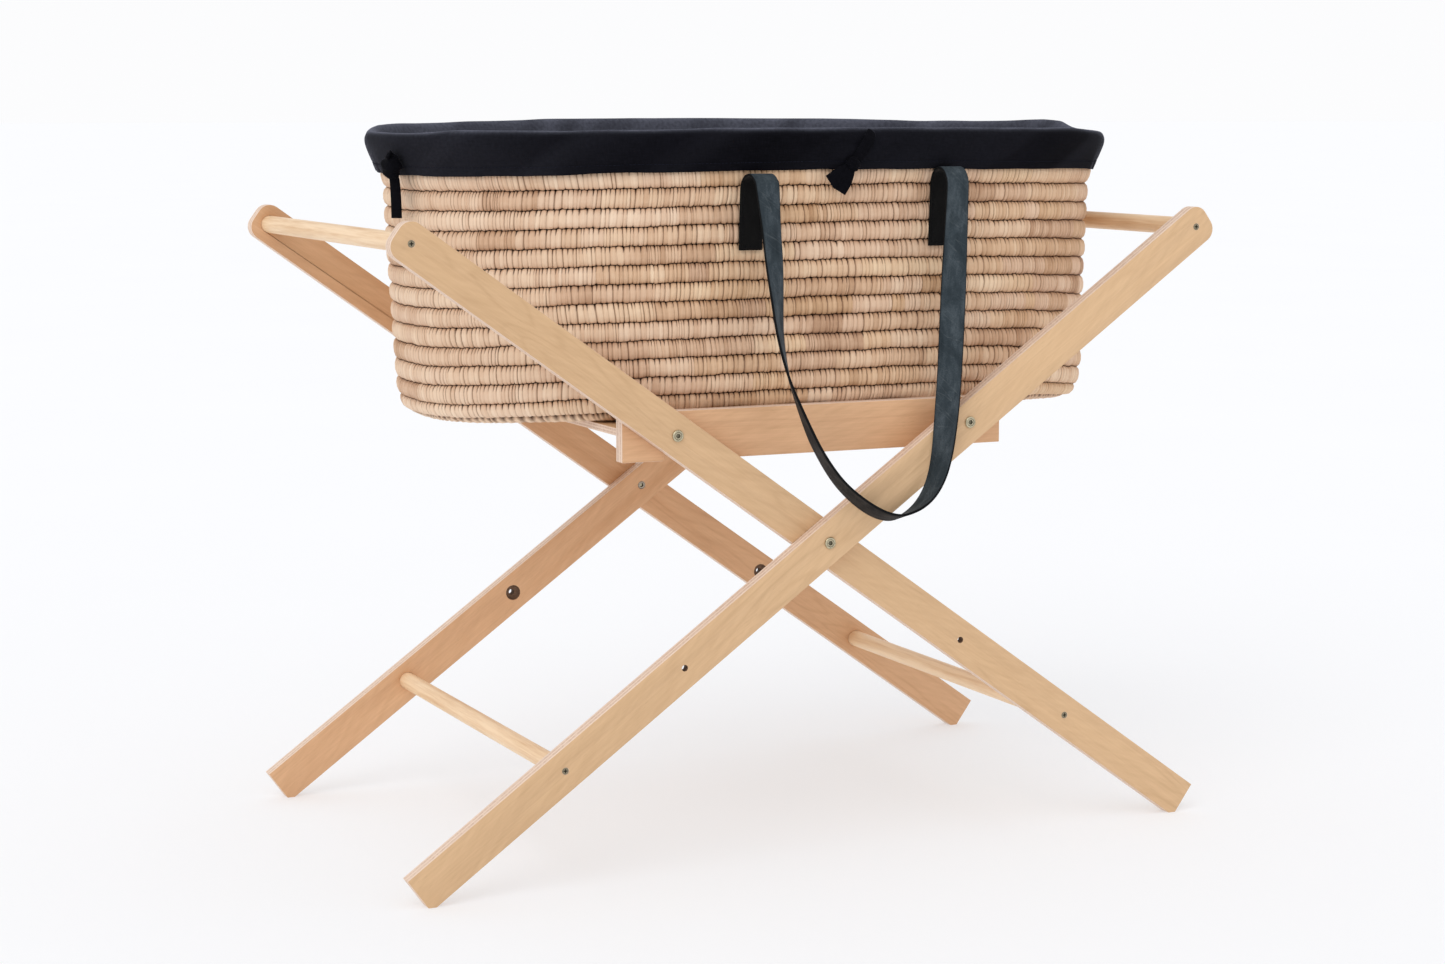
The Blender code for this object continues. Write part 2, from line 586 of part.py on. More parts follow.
# ---------------------------------------------------------------- assembly
def build():
    clear_scene()
    # frame A rises to the left: inner plank at the front, outer plank at the back
    make_plank("leg_front_inner", -1, -1, False)
    make_plank("leg_rear_outer", -1, 1, True)
    # frame B rises to the right: outer plank at the front, inner plank at the back
    make_plank("leg_front_outer", 1, -1, True)
    make_plank("leg_rear_inner", 1, 1, False)

    a_front, a_back = -(INNER_Y - PLANK_T), OUTER_Y - PLANK_T
    b_front, b_back = -(OUTER_Y - PLANK_T), INNER_Y - PLANK_T
    make_crossbar("upper_crossbar_left", -1, TOP_REACH, a_front, a_back)
    make_crossbar("lower_crossbar_right", -1, -LOW_REACH, a_front, a_back)
    make_crossbar("upper_crossbar_right", 1, TOP_REACH, b_front, b_back)
    make_crossbar("lower_crossbar_left", 1, -LOW_REACH, b_front, b_back)

    for side, frame in ((-1, "a"), (1, "b")):
        for reach, level in ((TOP_REACH, "upper"), (-LOW_REACH, "lower")):
            for face, where in ((-1, "front"), (1, "rear")):
                outer = (side > 0) == (face < 0)
                make_screw(f"crossbar_screw_{frame}_{level}_{where}", side, reach, face, outer)

    make_bolt("pivot_bolt_front", 1, 0.0, -1, True, 0.0290)
    make_bolt("pivot_bolt_rear", 1, 0.0, 1, True, 0.0290)
    make_insert("pivot_insert_front", -1)
    make_insert("pivot_insert_rear", 1)
    for side, frame in ((-1, "left"), (1, "right")):
        for face, where in ((-1, "front"), (1, "rear")):
            outer = (side > 0) == (face < 0)
            make_peg(f"platform_peg_{where}_{frame}", side, face, outer)
            make_bolt(f"peg_bolt_{where}_{frame}", side, PEG_REACH, face, outer, 0.0210)

    make_rail("platform_rail_front", -1)
    make_rail("platform_rail_rear", 1)
    pitch = (RAIL_X1 - RAIL_X0 - SLAT_W) / (SLAT_COUNT - 1)
    for k in range(SLAT_COUNT):
        make_slat(f"platform_slat_{k + 1}", RAIL_X0 + SLAT_W / 2 + k * pitch)

    make_basket()
    make_liner()
    make_mattress()

    for face, where in ((-1, "front"), (1, "rear")):
        hinge = add_empty(f"{where}_handle_axis", (0, face * HANDLE_AXIS_Y, HANDLE_AXIS_Z))
        make_handle(f"{where}_handle_strap", face, hinge)
        for x, label in zip(TAB_X, ("left", "right")):
            make_tab(f"{where}_handle_end_{label}", x, face)

    # ties: one in the middle of each long side and one at each end, opposite ones alike
    centre = Vector((BASKET_X, 0, 0))
    for where, angle in (("front", 0.0), ("rear", math.pi)):
        turn = Matrix.Rotation(angle, 3, "Z")
        x, z = 0.0330, 0.7080
        base = Vector((x, -wall_y(x, z, 0.0009 + LINER_T + GAP + 0.0052), z))
        slope = (wall_y(x, z + 0.01) - wall_y(x, z - 0.01)) / 0.02
        across = (wall_y(x + 0.004, z) - wall_y(x - 0.004, z)) / 0.008
        out = Vector((-across, -1, -slope)).normalized()
        down = Vector((-0.62, 0, -1))
        down = down - out * down.dot(out)
        make_tie(f"liner_tie_{where}", tuple(turn @ (base - centre) + centre), turn @ down, turn @ out, 0.026, 0.022)
    for where, angle in (("left", 0.0), ("right", math.pi)):
        turn = Matrix.Rotation(angle, 3, "Z")
        base, out = Vector((-0.3877, -0.0512, 0.7180)), Vector((-0.986, -0.168, 0))
        up = out * 0.31 + Vector((0, 0, 0.95))
        make_tie(f"liner_tie_{where}", tuple(turn @ (base - centre) + centre), (0, 0, -1), turn @ out, 0.014, 0.052, up=turn @ up)


build()
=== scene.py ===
"""Looks of the bassinet on stand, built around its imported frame. Metres, +Z up, -Y is the front."""
import math

import bmesh
import bpy
import numpy as np
from mathutils import Matrix, Vector


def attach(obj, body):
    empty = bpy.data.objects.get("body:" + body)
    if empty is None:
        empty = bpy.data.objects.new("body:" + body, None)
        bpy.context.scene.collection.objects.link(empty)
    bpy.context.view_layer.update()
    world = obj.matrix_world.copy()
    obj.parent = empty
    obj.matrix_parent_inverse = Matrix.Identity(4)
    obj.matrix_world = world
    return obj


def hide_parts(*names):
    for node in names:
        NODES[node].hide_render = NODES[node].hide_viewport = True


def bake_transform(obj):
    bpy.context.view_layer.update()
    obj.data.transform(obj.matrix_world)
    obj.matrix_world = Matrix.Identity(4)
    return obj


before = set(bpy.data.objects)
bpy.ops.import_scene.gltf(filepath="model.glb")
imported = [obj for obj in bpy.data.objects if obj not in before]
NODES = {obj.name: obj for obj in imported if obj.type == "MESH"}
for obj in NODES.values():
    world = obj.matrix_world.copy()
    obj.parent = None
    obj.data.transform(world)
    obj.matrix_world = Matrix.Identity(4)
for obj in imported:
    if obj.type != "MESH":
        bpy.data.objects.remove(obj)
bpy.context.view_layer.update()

NODE_BODY = {"pivot_insert_front": "frame_a", "pivot_insert_rear": "frame_b"}
RNG = np.random.default_rng(11)

# ------------------------------------------------------------------ sizes, as in the frame
THETA = math.radians(35.63)
PIVOT_Z = 0.3310
PLANK_T, OUTER_Y, PLAY_Y, RAIL_PLAY = 0.0155, 0.2615, 0.0004, 0.0006
INNER_Y = OUTER_Y - PLANK_T - PLAY_Y
RAIL_Y = INNER_Y - PLANK_T - RAIL_PLAY
BASKET_X, BASKET_N = 0.0256, 2.5
BASKET_BOTTOM, BASKET_WALL = 0.4556, 0.0110
END_DROOP, RIM_CROWN, RIM_TILT = 0.0120, 0.0047, 0.0038
GAP, LINER_T, MATTRESS_T = 0.0003, 0.0020, 0.0350
WALL = [
    (0.1900, 0.4556), (0.2000, 0.4580), (0.2072, 0.4640), (0.2108, 0.4730), (0.2135, 0.4900),
    (0.2200, 0.6000), (0.2255, 0.6900), (0.2272, 0.7000), (0.2345, 0.7200), (0.2390, 0.7350),
    (0.2392, 0.7420), (0.2360, 0.7472),
]
STRAP_W, STRAP_T = 0.0260, 0.0030
TAB_X = (-0.0712, 0.1465)
TAB_Z0 = 0.6290
LOOP = [
    (-0.0690, 0.2585, 0.6900, 0.00), (-0.0660, 0.2590, 0.6550, 0.20), (-0.0630, 0.2600, 0.6200, 0.26),
    (-0.0600, 0.2615, 0.5850, 0.41), (-0.0569, 0.2640, 0.5500, 0.57), (-0.0515, 0.2670, 0.5200, 0.68),
    (-0.0440, 0.2700, 0.4940, 0.78), (-0.0258, 0.2730, 0.4490, 0.92), (-0.0120, 0.2745, 0.4230, 0.98),
    (0.0035, 0.2760, 0.4005, 1.05), (0.0190, 0.2770, 0.3840, 1.12), (0.0360, 0.2780, 0.3705, 1.18),
    (0.0520, 0.2785, 0.3620, 1.21), (0.0680, 0.2785, 0.3590, 1.20), (0.0828, 0.2783, 0.3630, 1.12),
    (0.0961, 0.2780, 0.3710, 1.02), (0.1071, 0.2775, 0.3830, 0.91), (0.1158, 0.2768, 0.4000, 0.80),
    (0.1218, 0.2757, 0.4220, 0.70), (0.1259, 0.2740, 0.4460, 0.60), (0.1299, 0.2712, 0.4720, 0.50),
    (0.1338, 0.2682, 0.5050, 0.40), (0.1371, 0.2655, 0.5440, 0.31), (0.1400, 0.2632, 0.5850, 0.22),
    (0.1428, 0.2610, 0.6260, 0.12), (0.1450, 0.2594, 0.6600, 0.05), (0.1465, 0.2585, 0.6900, 0.00),
]


# ------------------------------------------------------------------ node materials
class Mat:
    """A Principled material with short names for the nodes it is made from."""

    def __init__(self, name, rough=0.5, metal=0.0, specular=None, sheen=None):
        self.m = bpy.data.materials.new(name)
        self.m.use_nodes = True
        self.t = self.m.node_tree
        self.bsdf = self.t.nodes["Principled BSDF"]
        self.bsdf.inputs["Roughness"].default_value = rough
        self.bsdf.inputs["Metallic"].default_value = metal
        if specular is not None:
            self.bsdf.inputs["Specular IOR Level"].default_value = specular
        if sheen is not None:
            self.bsdf.inputs["Sheen Weight"].default_value = sheen[0]
            self.bsdf.inputs["Sheen Roughness"].default_value = sheen[1]
            self.bsdf.inputs["Sheen Tint"].default_value = (*sheen[2], 1)

    def put(self, socket, value):
        if isinstance(value, bpy.types.NodeSocket):
            self.t.links.new(value, socket)
        elif isinstance(value, tuple) and len(value) == 3 and socket.type == "RGBA":
            socket.default_value = (*value, 1)
        else:
            socket.default_value = value

    def coords(self, kind="Object"):
        n = self.t.nodes.new("ShaderNodeTexCoord")
        return n.outputs[kind]

    def attr(self, name, out="Fac"):
        n = self.t.nodes.new("ShaderNodeAttribute")
        n.attribute_name = name
        return n.outputs[out]

    def mapped(self, vec, rotation=(0, 0, 0), scale=(1, 1, 1), location=(0, 0, 0)):
        """Turned first, then scaled."""
        a = self.t.nodes.new("ShaderNodeMapping")
        a.inputs["Rotation"].default_value = rotation
        a.inputs["Location"].default_value = location
        self.put(a.inputs["Vector"], vec)
        b = self.t.nodes.new("ShaderNodeMapping")
        b.inputs["Scale"].default_value = scale
        self.put(b.inputs["Vector"], a.outputs[0])
        return b.outputs[0]

    def noise(self, vec, scale=1.0, detail=2.0, rough=0.5, distortion=0.0):
        n = self.t.nodes.new("ShaderNodeTexNoise")
        self.put(n.inputs["Vector"], vec)
        n.inputs["Scale"].default_value = scale
        n.inputs["Detail"].default_value = detail
        n.inputs["Roughness"].default_value = rough
        n.inputs["Distortion"].default_value = distortion
        return n.outputs["Fac"]

    def voronoi(self, vec, scale=1.0, out="Distance"):
        n = self.t.nodes.new("ShaderNodeTexVoronoi")
        self.put(n.inputs["Vector"], vec)
        n.inputs["Scale"].default_value = scale
        return n.outputs[out]

    def math(self, op, a, b=0.0, c=0.0, clamp=False):
        n = self.t.nodes.new("ShaderNodeMath")
        n.operation = op
        n.use_clamp = clamp
        self.put(n.inputs[0], a)
        self.put(n.inputs[1], b)
        self.put(n.inputs[2], c)
        return n.outputs[0]

    def parts(self, vec):
        n = self.t.nodes.new("ShaderNodeSeparateXYZ")
        self.put(n.inputs[0], vec)
        return n.outputs[0], n.outputs[1], n.outputs[2]

    def join(self, x, y, z):
        n = self.t.nodes.new("ShaderNodeCombineXYZ")
        for i, v in enumerate((x, y, z)):
            self.put(n.inputs[i], v)
        return n.outputs[0]

    def ramp(self, fac, stops, interpolation="LINEAR"):
        n = self.t.nodes.new("ShaderNodeValToRGB")
        n.color_ramp.interpolation = interpolation
        e = n.color_ramp.elements
        while len(e) < len(stops):
            e.new(0.5)
        for el, (p, c) in zip(e, stops):
            el.position = p
            el.color = (*c, 1) if isinstance(c, tuple) else (c, c, c, 1)
        self.put(n.inputs["Fac"], fac)
        return n.outputs["Color"]

    def fade(self, fac, a, b, lo=0.0, hi=1.0):
        """fac from a to b becomes lo to hi, held outside."""
        n = self.t.nodes.new("ShaderNodeMapRange")
        n.clamp = True
        self.put(n.inputs["Value"], fac)
        for k, v in (("From Min", a), ("From Max", b), ("To Min", lo), ("To Max", hi)):
            n.inputs[k].default_value = v
        return n.outputs[0]

    def mix(self, fac, a, b, mode="MIX"):
        n = self.t.nodes.new("ShaderNodeMix")
        n.data_type = "RGBA"
        n.blend_type = mode
        self.put(n.inputs["Factor"], fac)
        self.put(n.inputs["A"] if False else n.inputs[6], a)
        self.put(n.inputs[7], b)
        return n.outputs[2]

    def bump(self, height, strength=0.3, distance=0.0005, normal=None):
        n = self.t.nodes.new("ShaderNodeBump")
        n.inputs["Strength"].default_value = strength
        n.inputs["Distance"].default_value = distance
        self.put(n.inputs["Height"], height)
        if normal is not None:
            self.put(n.inputs["Normal"], normal)
        return n.outputs["Normal"]

    def colour(self, v):
        self.put(self.bsdf.inputs["Base Color"], v)
        return self

    def rough(self, v):
        self.put(self.bsdf.inputs["Roughness"], v)
        return self

    def normal(self, v):
        self.put(self.bsdf.inputs["Normal"], v)
        return self


def wood(name, turn, light, dark, figure=0.5, fibre=1.0, shift=0.0, along_axis="X"):
    """Lacquered veneer: fibres and soft waves along the piece. turn lays the grain along the
    mapped X; a grain along Y is turned about Z."""
    w = Mat(name, rough=0.46, specular=0.32)
    obj = w.coords()
    rot = (0, turn, 0) if along_axis == "X" else (0, 0, math.pi / 2)
    base = w.mapped(obj, rotation=rot, location=(shift, shift * 0.37, shift * 0.71))
    # cathedral lines: thin, wavy and faint, here and there
    wave = w.noise(w.mapped(base, scale=(2.2, 4.0, 15.0)), detail=2.0, rough=0.45, distortion=0.25)
    lines = w.math("SINE", w.math("MULTIPLY", wave, 120.0))
    lines = w.math("POWER", w.math("MULTIPLY_ADD", lines, 0.5, 0.5), 5.0)
    where = w.fade(w.noise(w.mapped(base, scale=(3.0, 2.0, 9.0)), detail=1.0), 0.46, 0.62)
    lines = w.math("MULTIPLY", lines, where)
    broad = w.noise(w.mapped(base, scale=(1.8, 3.0, 8.0)), detail=1.0)
    fine = w.noise(w.mapped(base, scale=(14.0, 300.0, 520.0)), detail=3.0, rough=0.6)
    # the shimmer that crosses the grain
    silky = w.noise(w.mapped(base, rotation=(0, 0.30, 0), scale=(30.0, 60.0, 210.0)), detail=2.0, rough=0.5)
    tone = w.math("MULTIPLY_ADD", broad, 0.30, 0.10)
    tone = w.math("MULTIPLY_ADD", fine, 0.30 * fibre, tone)
    tone = w.math("MULTIPLY_ADD", silky, 0.26, w.math("ADD", tone, 0.03))
    tone = w.math("MULTIPLY_ADD", lines, -0.105 * figure, tone)
    col = w.ramp(tone, [(0.26, dark), (0.50, tuple((a + b) / 2 for a, b in zip(light, dark))), (0.74, light)])
    dots = w.voronoi(w.mapped(base, scale=(75.0, 900.0, 900.0)), scale=1.0)
    dots = w.fade(dots, 0.10, 0.24, 1.0, 0.0)
    keep = w.fade(w.noise(w.mapped(base, scale=(22.0, 60.0, 60.0)), detail=1.0), 0.52, 0.66)
    dots = w.math("MULTIPLY", dots, keep)
    col = w.mix(w.math("MULTIPLY", dots, 0.30), col, tuple(c * 0.70 for c in dark))
    w.colour(col)
    w.rough(w.fade(fine, 0.3, 0.7, 0.40, 0.54))
    w.normal(w.bump(w.math("ADD", fine, w.math("MULTIPLY", dots, -0.6)), 0.16, 0.0002))
    return w.m


def ply_edge(name, y_low, turn, thick=PLANK_T, plies=5, axis=1):
    """Cut edge of the board: thin layers across its thickness, paler than the face."""
    w = Mat(name, rough=0.62, specular=0.25)
    obj = w.coords()
    at = w.parts(obj)[axis]
    depth = w.math("DIVIDE", w.math("SUBTRACT", at, y_low), thick)
    base = w.mapped(obj, rotation=(0, turn, 0))
    wobble = w.noise(w.mapped(base, scale=(9.0, 90.0, 9.0)), detail=2.0)
    depth = w.math("MULTIPLY_ADD", w.math("SUBTRACT", wobble, 0.5), 0.05, depth)
    layer = w.math("MULTIPLY", depth, plies)
    odd = w.math("FLOORED_MODULO", w.math("FLOOR", layer), 2.0)
    edge = w.math("ABSOLUTE", w.math("SUBTRACT", w.math("FRACT", layer), 0.5))
    line = w.fade(edge, 0.40, 0.49)
    long_fibre = w.noise(w.mapped(base, scale=(26.0, 900.0, 26.0)), detail=3.0, rough=0.6)
    end_fibre = w.noise(w.mapped(base, scale=(420.0, 420.0, 420.0)), detail=2.0, rough=0.6)
    a = w.ramp(long_fibre, [(0.30, (0.76, 0.57, 0.44)), (0.70, (0.92, 0.75, 0.62))])
    b = w.ramp(end_fibre, [(0.30, (0.62, 0.43, 0.32)), (0.70, (0.82, 0.63, 0.50))])
    col = w.mix(odd, a, b)
    col = w.mix(w.math("MULTIPLY", line, 0.36), col, (0.44, 0.28, 0.19))
    w.colour(col)
    w.normal(w.bump(w.math("ADD", long_fibre, w.math("MULTIPLY", line, -0.5)), 0.18, 0.0002))
    return w.m


def dowel_wood(name, light, dark):
    """Turned hardwood, grain along Y."""
    w = Mat(name, rough=0.44, specular=0.35)
    obj = w.coords()
    streak = w.noise(w.mapped(obj, scale=(150.0, 5.0, 150.0)), detail=4.0, rough=0.62, distortion=0.15)
    fine = w.noise(w.mapped(obj, scale=(520.0, 26.0, 520.0)), detail=2.0)
    tone = w.math("ADD", w.math("MULTIPLY", streak, 0.72), w.math("MULTIPLY", fine, 0.28))
    w.colour(w.ramp(tone, [(0.30, dark), (0.56, light), (0.80, tuple(min(1, c * 1.06) for c in light))]))
    w.rough(w.fade(streak, 0.3, 0.7, 0.52, 0.38))
    w.normal(w.bump(tone, 0.14, 0.0003))
    return w.m


def metal(name, colour, rough=0.3, worn=(0.3, 0.25, 0.18)):
    w = Mat(name, rough=rough, metal=1.0)
    obj = w.coords()
    blotch = w.noise(obj, scale=420.0, detail=3.0, rough=0.6)
    fine = w.noise(obj, scale=2600.0, detail=2.0)
    w.colour(w.mix(w.fade(blotch, 0.42, 0.72, 0.0, 0.55), colour, worn))
    w.rough(w.fade(fine, 0.3, 0.7, rough - 0.07, rough + 0.12))
    w.normal(w.bump(fine, 0.12, 0.0001))
    return w.m


def painted_shade_for_recesses(name):
    # painted shade: near black, for the insides of the screws' cross recesses and the sleeves' bores
    w = Mat(name, rough=0.6, metal=0.6)
    n = w.noise(w.coords(), scale=1500.0, detail=2.0)
    w.colour(w.ramp(n, [(0.3, (0.020, 0.018, 0.014)), (0.7, (0.060, 0.052, 0.040))]))
    return w.m


def palm_material():
    """Split palm leaf wound round each coil. Its tone, which also holds painted light and shade, and the painted shade
    of the grooves and creases come from the mesh.
    """
    w = Mat("palm_leaf", rough=0.6, specular=0.22)
    uv = w.coords("UV")
    tone, joint, crease_shade, hue = w.attr("tone"), w.attr("joint"), w.attr("crease_shade"), w.attr("hue")
    fibre = w.noise(w.mapped(uv, scale=(2600.0, 120.0, 1.0)), detail=3.0, rough=0.6)
    coarse = w.noise(w.mapped(uv, scale=(700.0, 34.0, 1.0)), detail=2.0, rough=0.5)
    blotch = w.noise(w.mapped(uv, scale=(55.0, 90.0, 1.0)), detail=3.0, rough=0.6)
    t = w.math("MULTIPLY_ADD", w.math("SUBTRACT", fibre, 0.5), 0.34, tone)
    t = w.math("MULTIPLY_ADD", w.math("SUBTRACT", coarse, 0.5), 0.30, t)
    t = w.math("MULTIPLY_ADD", w.math("SUBTRACT", blotch, 0.5), 0.26, t)
    pale = w.ramp(t, [(0.0, (0.270, 0.135, 0.078)), (0.30, (0.480, 0.285, 0.175)), (0.58, (0.690, 0.465, 0.318)),
                      (1.0, (0.880, 0.680, 0.510))])
    warm = w.ramp(t, [(0.0, (0.290, 0.140, 0.068)), (0.30, (0.500, 0.295, 0.160)), (0.58, (0.690, 0.455, 0.278)),
                      (1.0, (0.870, 0.665, 0.450))])
    col = w.mix(hue, pale, warm)
    # painted shade: dark brown in the crease between two turns, stronger where the crease is deeper
    col = w.mix(w.fade(crease_shade, 0.12, 1.0, 0.0, 0.78), col, (0.190, 0.088, 0.045))
    # painted shade: near black in the grooves between coils and in the notches
    col = w.mix(w.fade(joint, 0.10, 0.85), col, (0.040, 0.015, 0.008))
    w.colour(col)
    w.rough(w.fade(fibre, 0.3, 0.7, 0.50, 0.70))
    height = w.math("MULTIPLY_ADD", coarse, 0.6, fibre)
    w.normal(w.bump(height, 0.32, 0.00035))
    return w.m


def cloth_material(name, base, light, sheen_tint, scale=1500.0, sheen=0.30, bump=0.35, specular=0.06, painted_sheen=None):
    """Plain-woven cloth: two crossing sets of threads, with slight fading, and a painted sheen where one is given."""
    w = Mat(name, rough=0.92, specular=specular, sheen=(sheen, 0.16, sheen_tint))
    uv = w.coords("UV")
    u, v, _ = w.parts(uv)
    a = w.math("SINE", w.math("MULTIPLY", u, scale * 2 * math.pi))
    b = w.math("SINE", w.math("MULTIPLY", v, scale * 2 * math.pi))
    weave = w.math("MULTIPLY", a, b)
    slub = w.noise(w.mapped(uv, scale=(90.0, 900.0, 1.0)), detail=2.0)
    slub2 = w.noise(w.mapped(uv, scale=(900.0, 90.0, 1.0)), detail=2.0)
    cloud = w.noise(w.mapped(uv, scale=(14.0, 14.0, 1.0)), detail=3.0)
    t = w.math("MULTIPLY_ADD", weave, 0.16, w.math("MULTIPLY", w.math("ADD", slub, slub2), 0.5))
    t = w.math("MULTIPLY_ADD", w.math("SUBTRACT", cloud, 0.5), 0.5, t)
    col = w.ramp(t, [(0.25, base), (0.80, light)])
    # painted sheen: lighter where the mesh's attribute says so
    if painted_sheen is not None:
        spread = w.math("MULTIPLY", w.attr("painted_sheen"), w.fade(w.noise(w.mapped(uv, scale=(260.0, 260.0, 1.0)), detail=3.0), 0.25, 0.75, 0.55, 1.0))
        col = w.mix(spread, col, painted_sheen)
    w.colour(col)
    w.normal(w.bump(t, bump, 0.0004))
    return w.m


def nubuck_material(name, dark, mid, light, scuff, grain=1.0, sheen=0.15):
    w = Mat(name, rough=0.80, specular=0.12, sheen=(sheen, 0.4, (0.75, 0.85, 0.95)))
    uv = w.coords("UV")
    nap = w.noise(w.mapped(uv, scale=(900.0, 620.0, 1.0)), detail=3.0, rough=0.6)
    cloud = w.noise(w.mapped(uv, scale=(60.0, 34.0, 1.0)), detail=4.0, rough=0.62, distortion=0.4)
    streak = w.noise(w.mapped(uv, scale=(190.0, 26.0, 1.0)), detail=3.0, rough=0.6)
    t = w.math("MULTIPLY_ADD", cloud, 0.62, w.math("MULTIPLY", nap, 0.26 * grain))
    t = w.math("MULTIPLY_ADD", streak, 0.22, t)
    col = w.ramp(t, [(0.34, dark), (0.54, mid), (0.74, light)])
    crease = w.voronoi(w.mapped(uv, scale=(46.0, 30.0, 1.0)), out="Distance")
    thin = w.noise(w.mapped(uv, rotation=(0, 0, 0.7), scale=(14.0, 90.0, 1.0)), detail=2.0, distortion=0.6)
    line = w.fade(w.math("ABSOLUTE", w.math("SUBTRACT", thin, 0.5)), 0.0, 0.012, 1.0, 0.0)
    line = w.math("MULTIPLY", line, w.fade(crease, 0.25, 0.6))
    col = w.mix(w.math("MULTIPLY", line, 0.30), col, scuff)
    rim = w.attr("rim")
    # darker along the cut edges; the same mix lays painted shade on the sewn ends lying on the wall and on the wall
    # side of the bends, which make_handle marks
    col = w.mix(w.math("MULTIPLY", rim, 0.75), col, tuple(c * 0.45 for c in dark))
    w.colour(col)
    w.rough(w.fade(cloud, 0.3, 0.7, 0.86, 0.70))
    w.normal(w.bump(w.math("MULTIPLY_ADD", line, -0.4, nap), 0.30 * grain, 0.0004))
    return w.m


# ------------------------------------------------------------------ mesh helpers
def new_object(name, verts, faces, mats, index=None, smooth=True):
    me = bpy.data.meshes.new(name)
    v = np.asarray(verts, np.float32)
    if isinstance(faces, np.ndarray):
        n, k = faces.shape
        me.vertices.add(len(v))
        me.vertices.foreach_set("co", v.ravel())
        me.loops.add(n * k)
        me.loops.foreach_set("vertex_index", faces.astype(np.int32).ravel())
        me.polygons.add(n)
        me.polygons.foreach_set("loop_start", np.arange(0, n * k, k, dtype=np.int32))
        me.polygons.foreach_set("loop_total", np.full(n, k, np.int32))
        me.update(calc_edges=True)
    else:
        me.from_pydata([tuple(map(float, p)) for p in v], [], faces)
    for m in mats:
        me.materials.append(m)
    if index is not None:
        me.polygons.foreach_set("material_index", np.asarray(index, np.int32))
    me.validate()
    if smooth:
        me.polygons.foreach_set("use_smooth", np.ones(len(me.polygons), bool))
    me.update()
    ob = bpy.data.objects.new(name, me)
    bpy.context.scene.collection.objects.link(ob)
    return ob


def grid(rows, cols, closed=False, offset=0, flip=False):
    """Quads of a rows by cols grid of points, in row order."""
    i, j = np.meshgrid(np.arange(rows - 1), np.arange(cols if closed else cols - 1), indexing="ij")
    i, j = i.ravel(), j.ravel()
    k = (j + 1) % cols
    q = np.stack([i * cols + j, i * cols + k, (i + 1) * cols + k, (i + 1) * cols + j], 1) + offset
    return q[:, ::-1] if flip else q


def point_attribute(ob, name, values):
    a = ob.data.attributes.new(name, "FLOAT", "POINT")
    a.data.foreach_set("value", np.asarray(values, np.float32))


def point_uv(ob, uv):
    layer = ob.data.uv_layers.new(name="UVMap")
    idx = np.zeros(len(ob.data.loops), np.int32)
    ob.data.loops.foreach_get("vertex_index", idx)
    layer.data.foreach_set("uv", np.asarray(uv, np.float32)[idx].ravel())


def smooth_noise(x, period, seed, count=None):
    """Smooth one-dimensional noise of that period; it closes on itself after count periods."""
    r = np.random.default_rng(seed)
    n = count or int(np.ceil(np.max(np.abs(x)) / period)) + 3
    v = r.uniform(-1, 1, n)
    t = np.asarray(x, float) / period
    i = np.floor(t).astype(int)
    f = t - i
    f = f * f * (3 - 2 * f)
    return v[i % n] * (1 - f) + v[(i + 1) % n] * f


def set_bevel(ob, width, segments=2, angle=38):
    weld = ob.modifiers.new("weld", "WELD")
    weld.merge_threshold = 0.00001
    b = ob.modifiers.new("eased", "BEVEL")
    b.width = width
    b.segments = segments
    b.limit_method = "ANGLE"
    b.angle_limit = math.radians(angle)
    b.harden_normals = False
    b.use_clamp_overlap = True


def dress(node, mats, chooser=None, bevel=None, smooth_angle=None):
    """Gives a CAD node its materials; chooser picks one by a face's normal."""
    ob = NODES[node]
    me = ob.data
    me.materials.clear()
    for m in mats:
        me.materials.append(m)
    if chooser is not None:
        for p in me.polygons:
            p.material_index = chooser(p.normal, p.center)
    else:
        for p in me.polygons:
            p.material_index = 0
    if smooth_angle is not None:
        me.shade_smooth()
    if bevel:
        set_bevel(ob, *bevel)
    return ob


# ------------------------------------------------------------------ camera, floor and light
def make_camera():
    yaw, pitch, roll = 0.4294, -0.1322, -0.0014
    forward = Vector((math.sin(yaw) * math.cos(pitch), math.cos(yaw) * math.cos(pitch), math.sin(pitch)))
    side = Vector((math.cos(yaw), -math.sin(yaw), 0.0))
    up = side.cross(forward)
    right = side * math.cos(roll) + up * math.sin(roll)
    top = up * math.cos(roll) - side * math.sin(roll)
    data = bpy.data.cameras.new("camera")
    data.sensor_width = 36.0
    data.lens = 2845.63 / 1445 * 36.0
    data.clip_start, data.clip_end = 0.05, 200.0
    cam = bpy.data.objects.new("camera", data)
    m = Matrix((right, top, -forward)).transposed().to_4x4()
    m.translation = Vector((-1.29434, -2.82483, 0.77552))
    cam.matrix_world = m
    bpy.context.scene.collection.objects.link(cam)
    bpy.context.scene.camera = cam


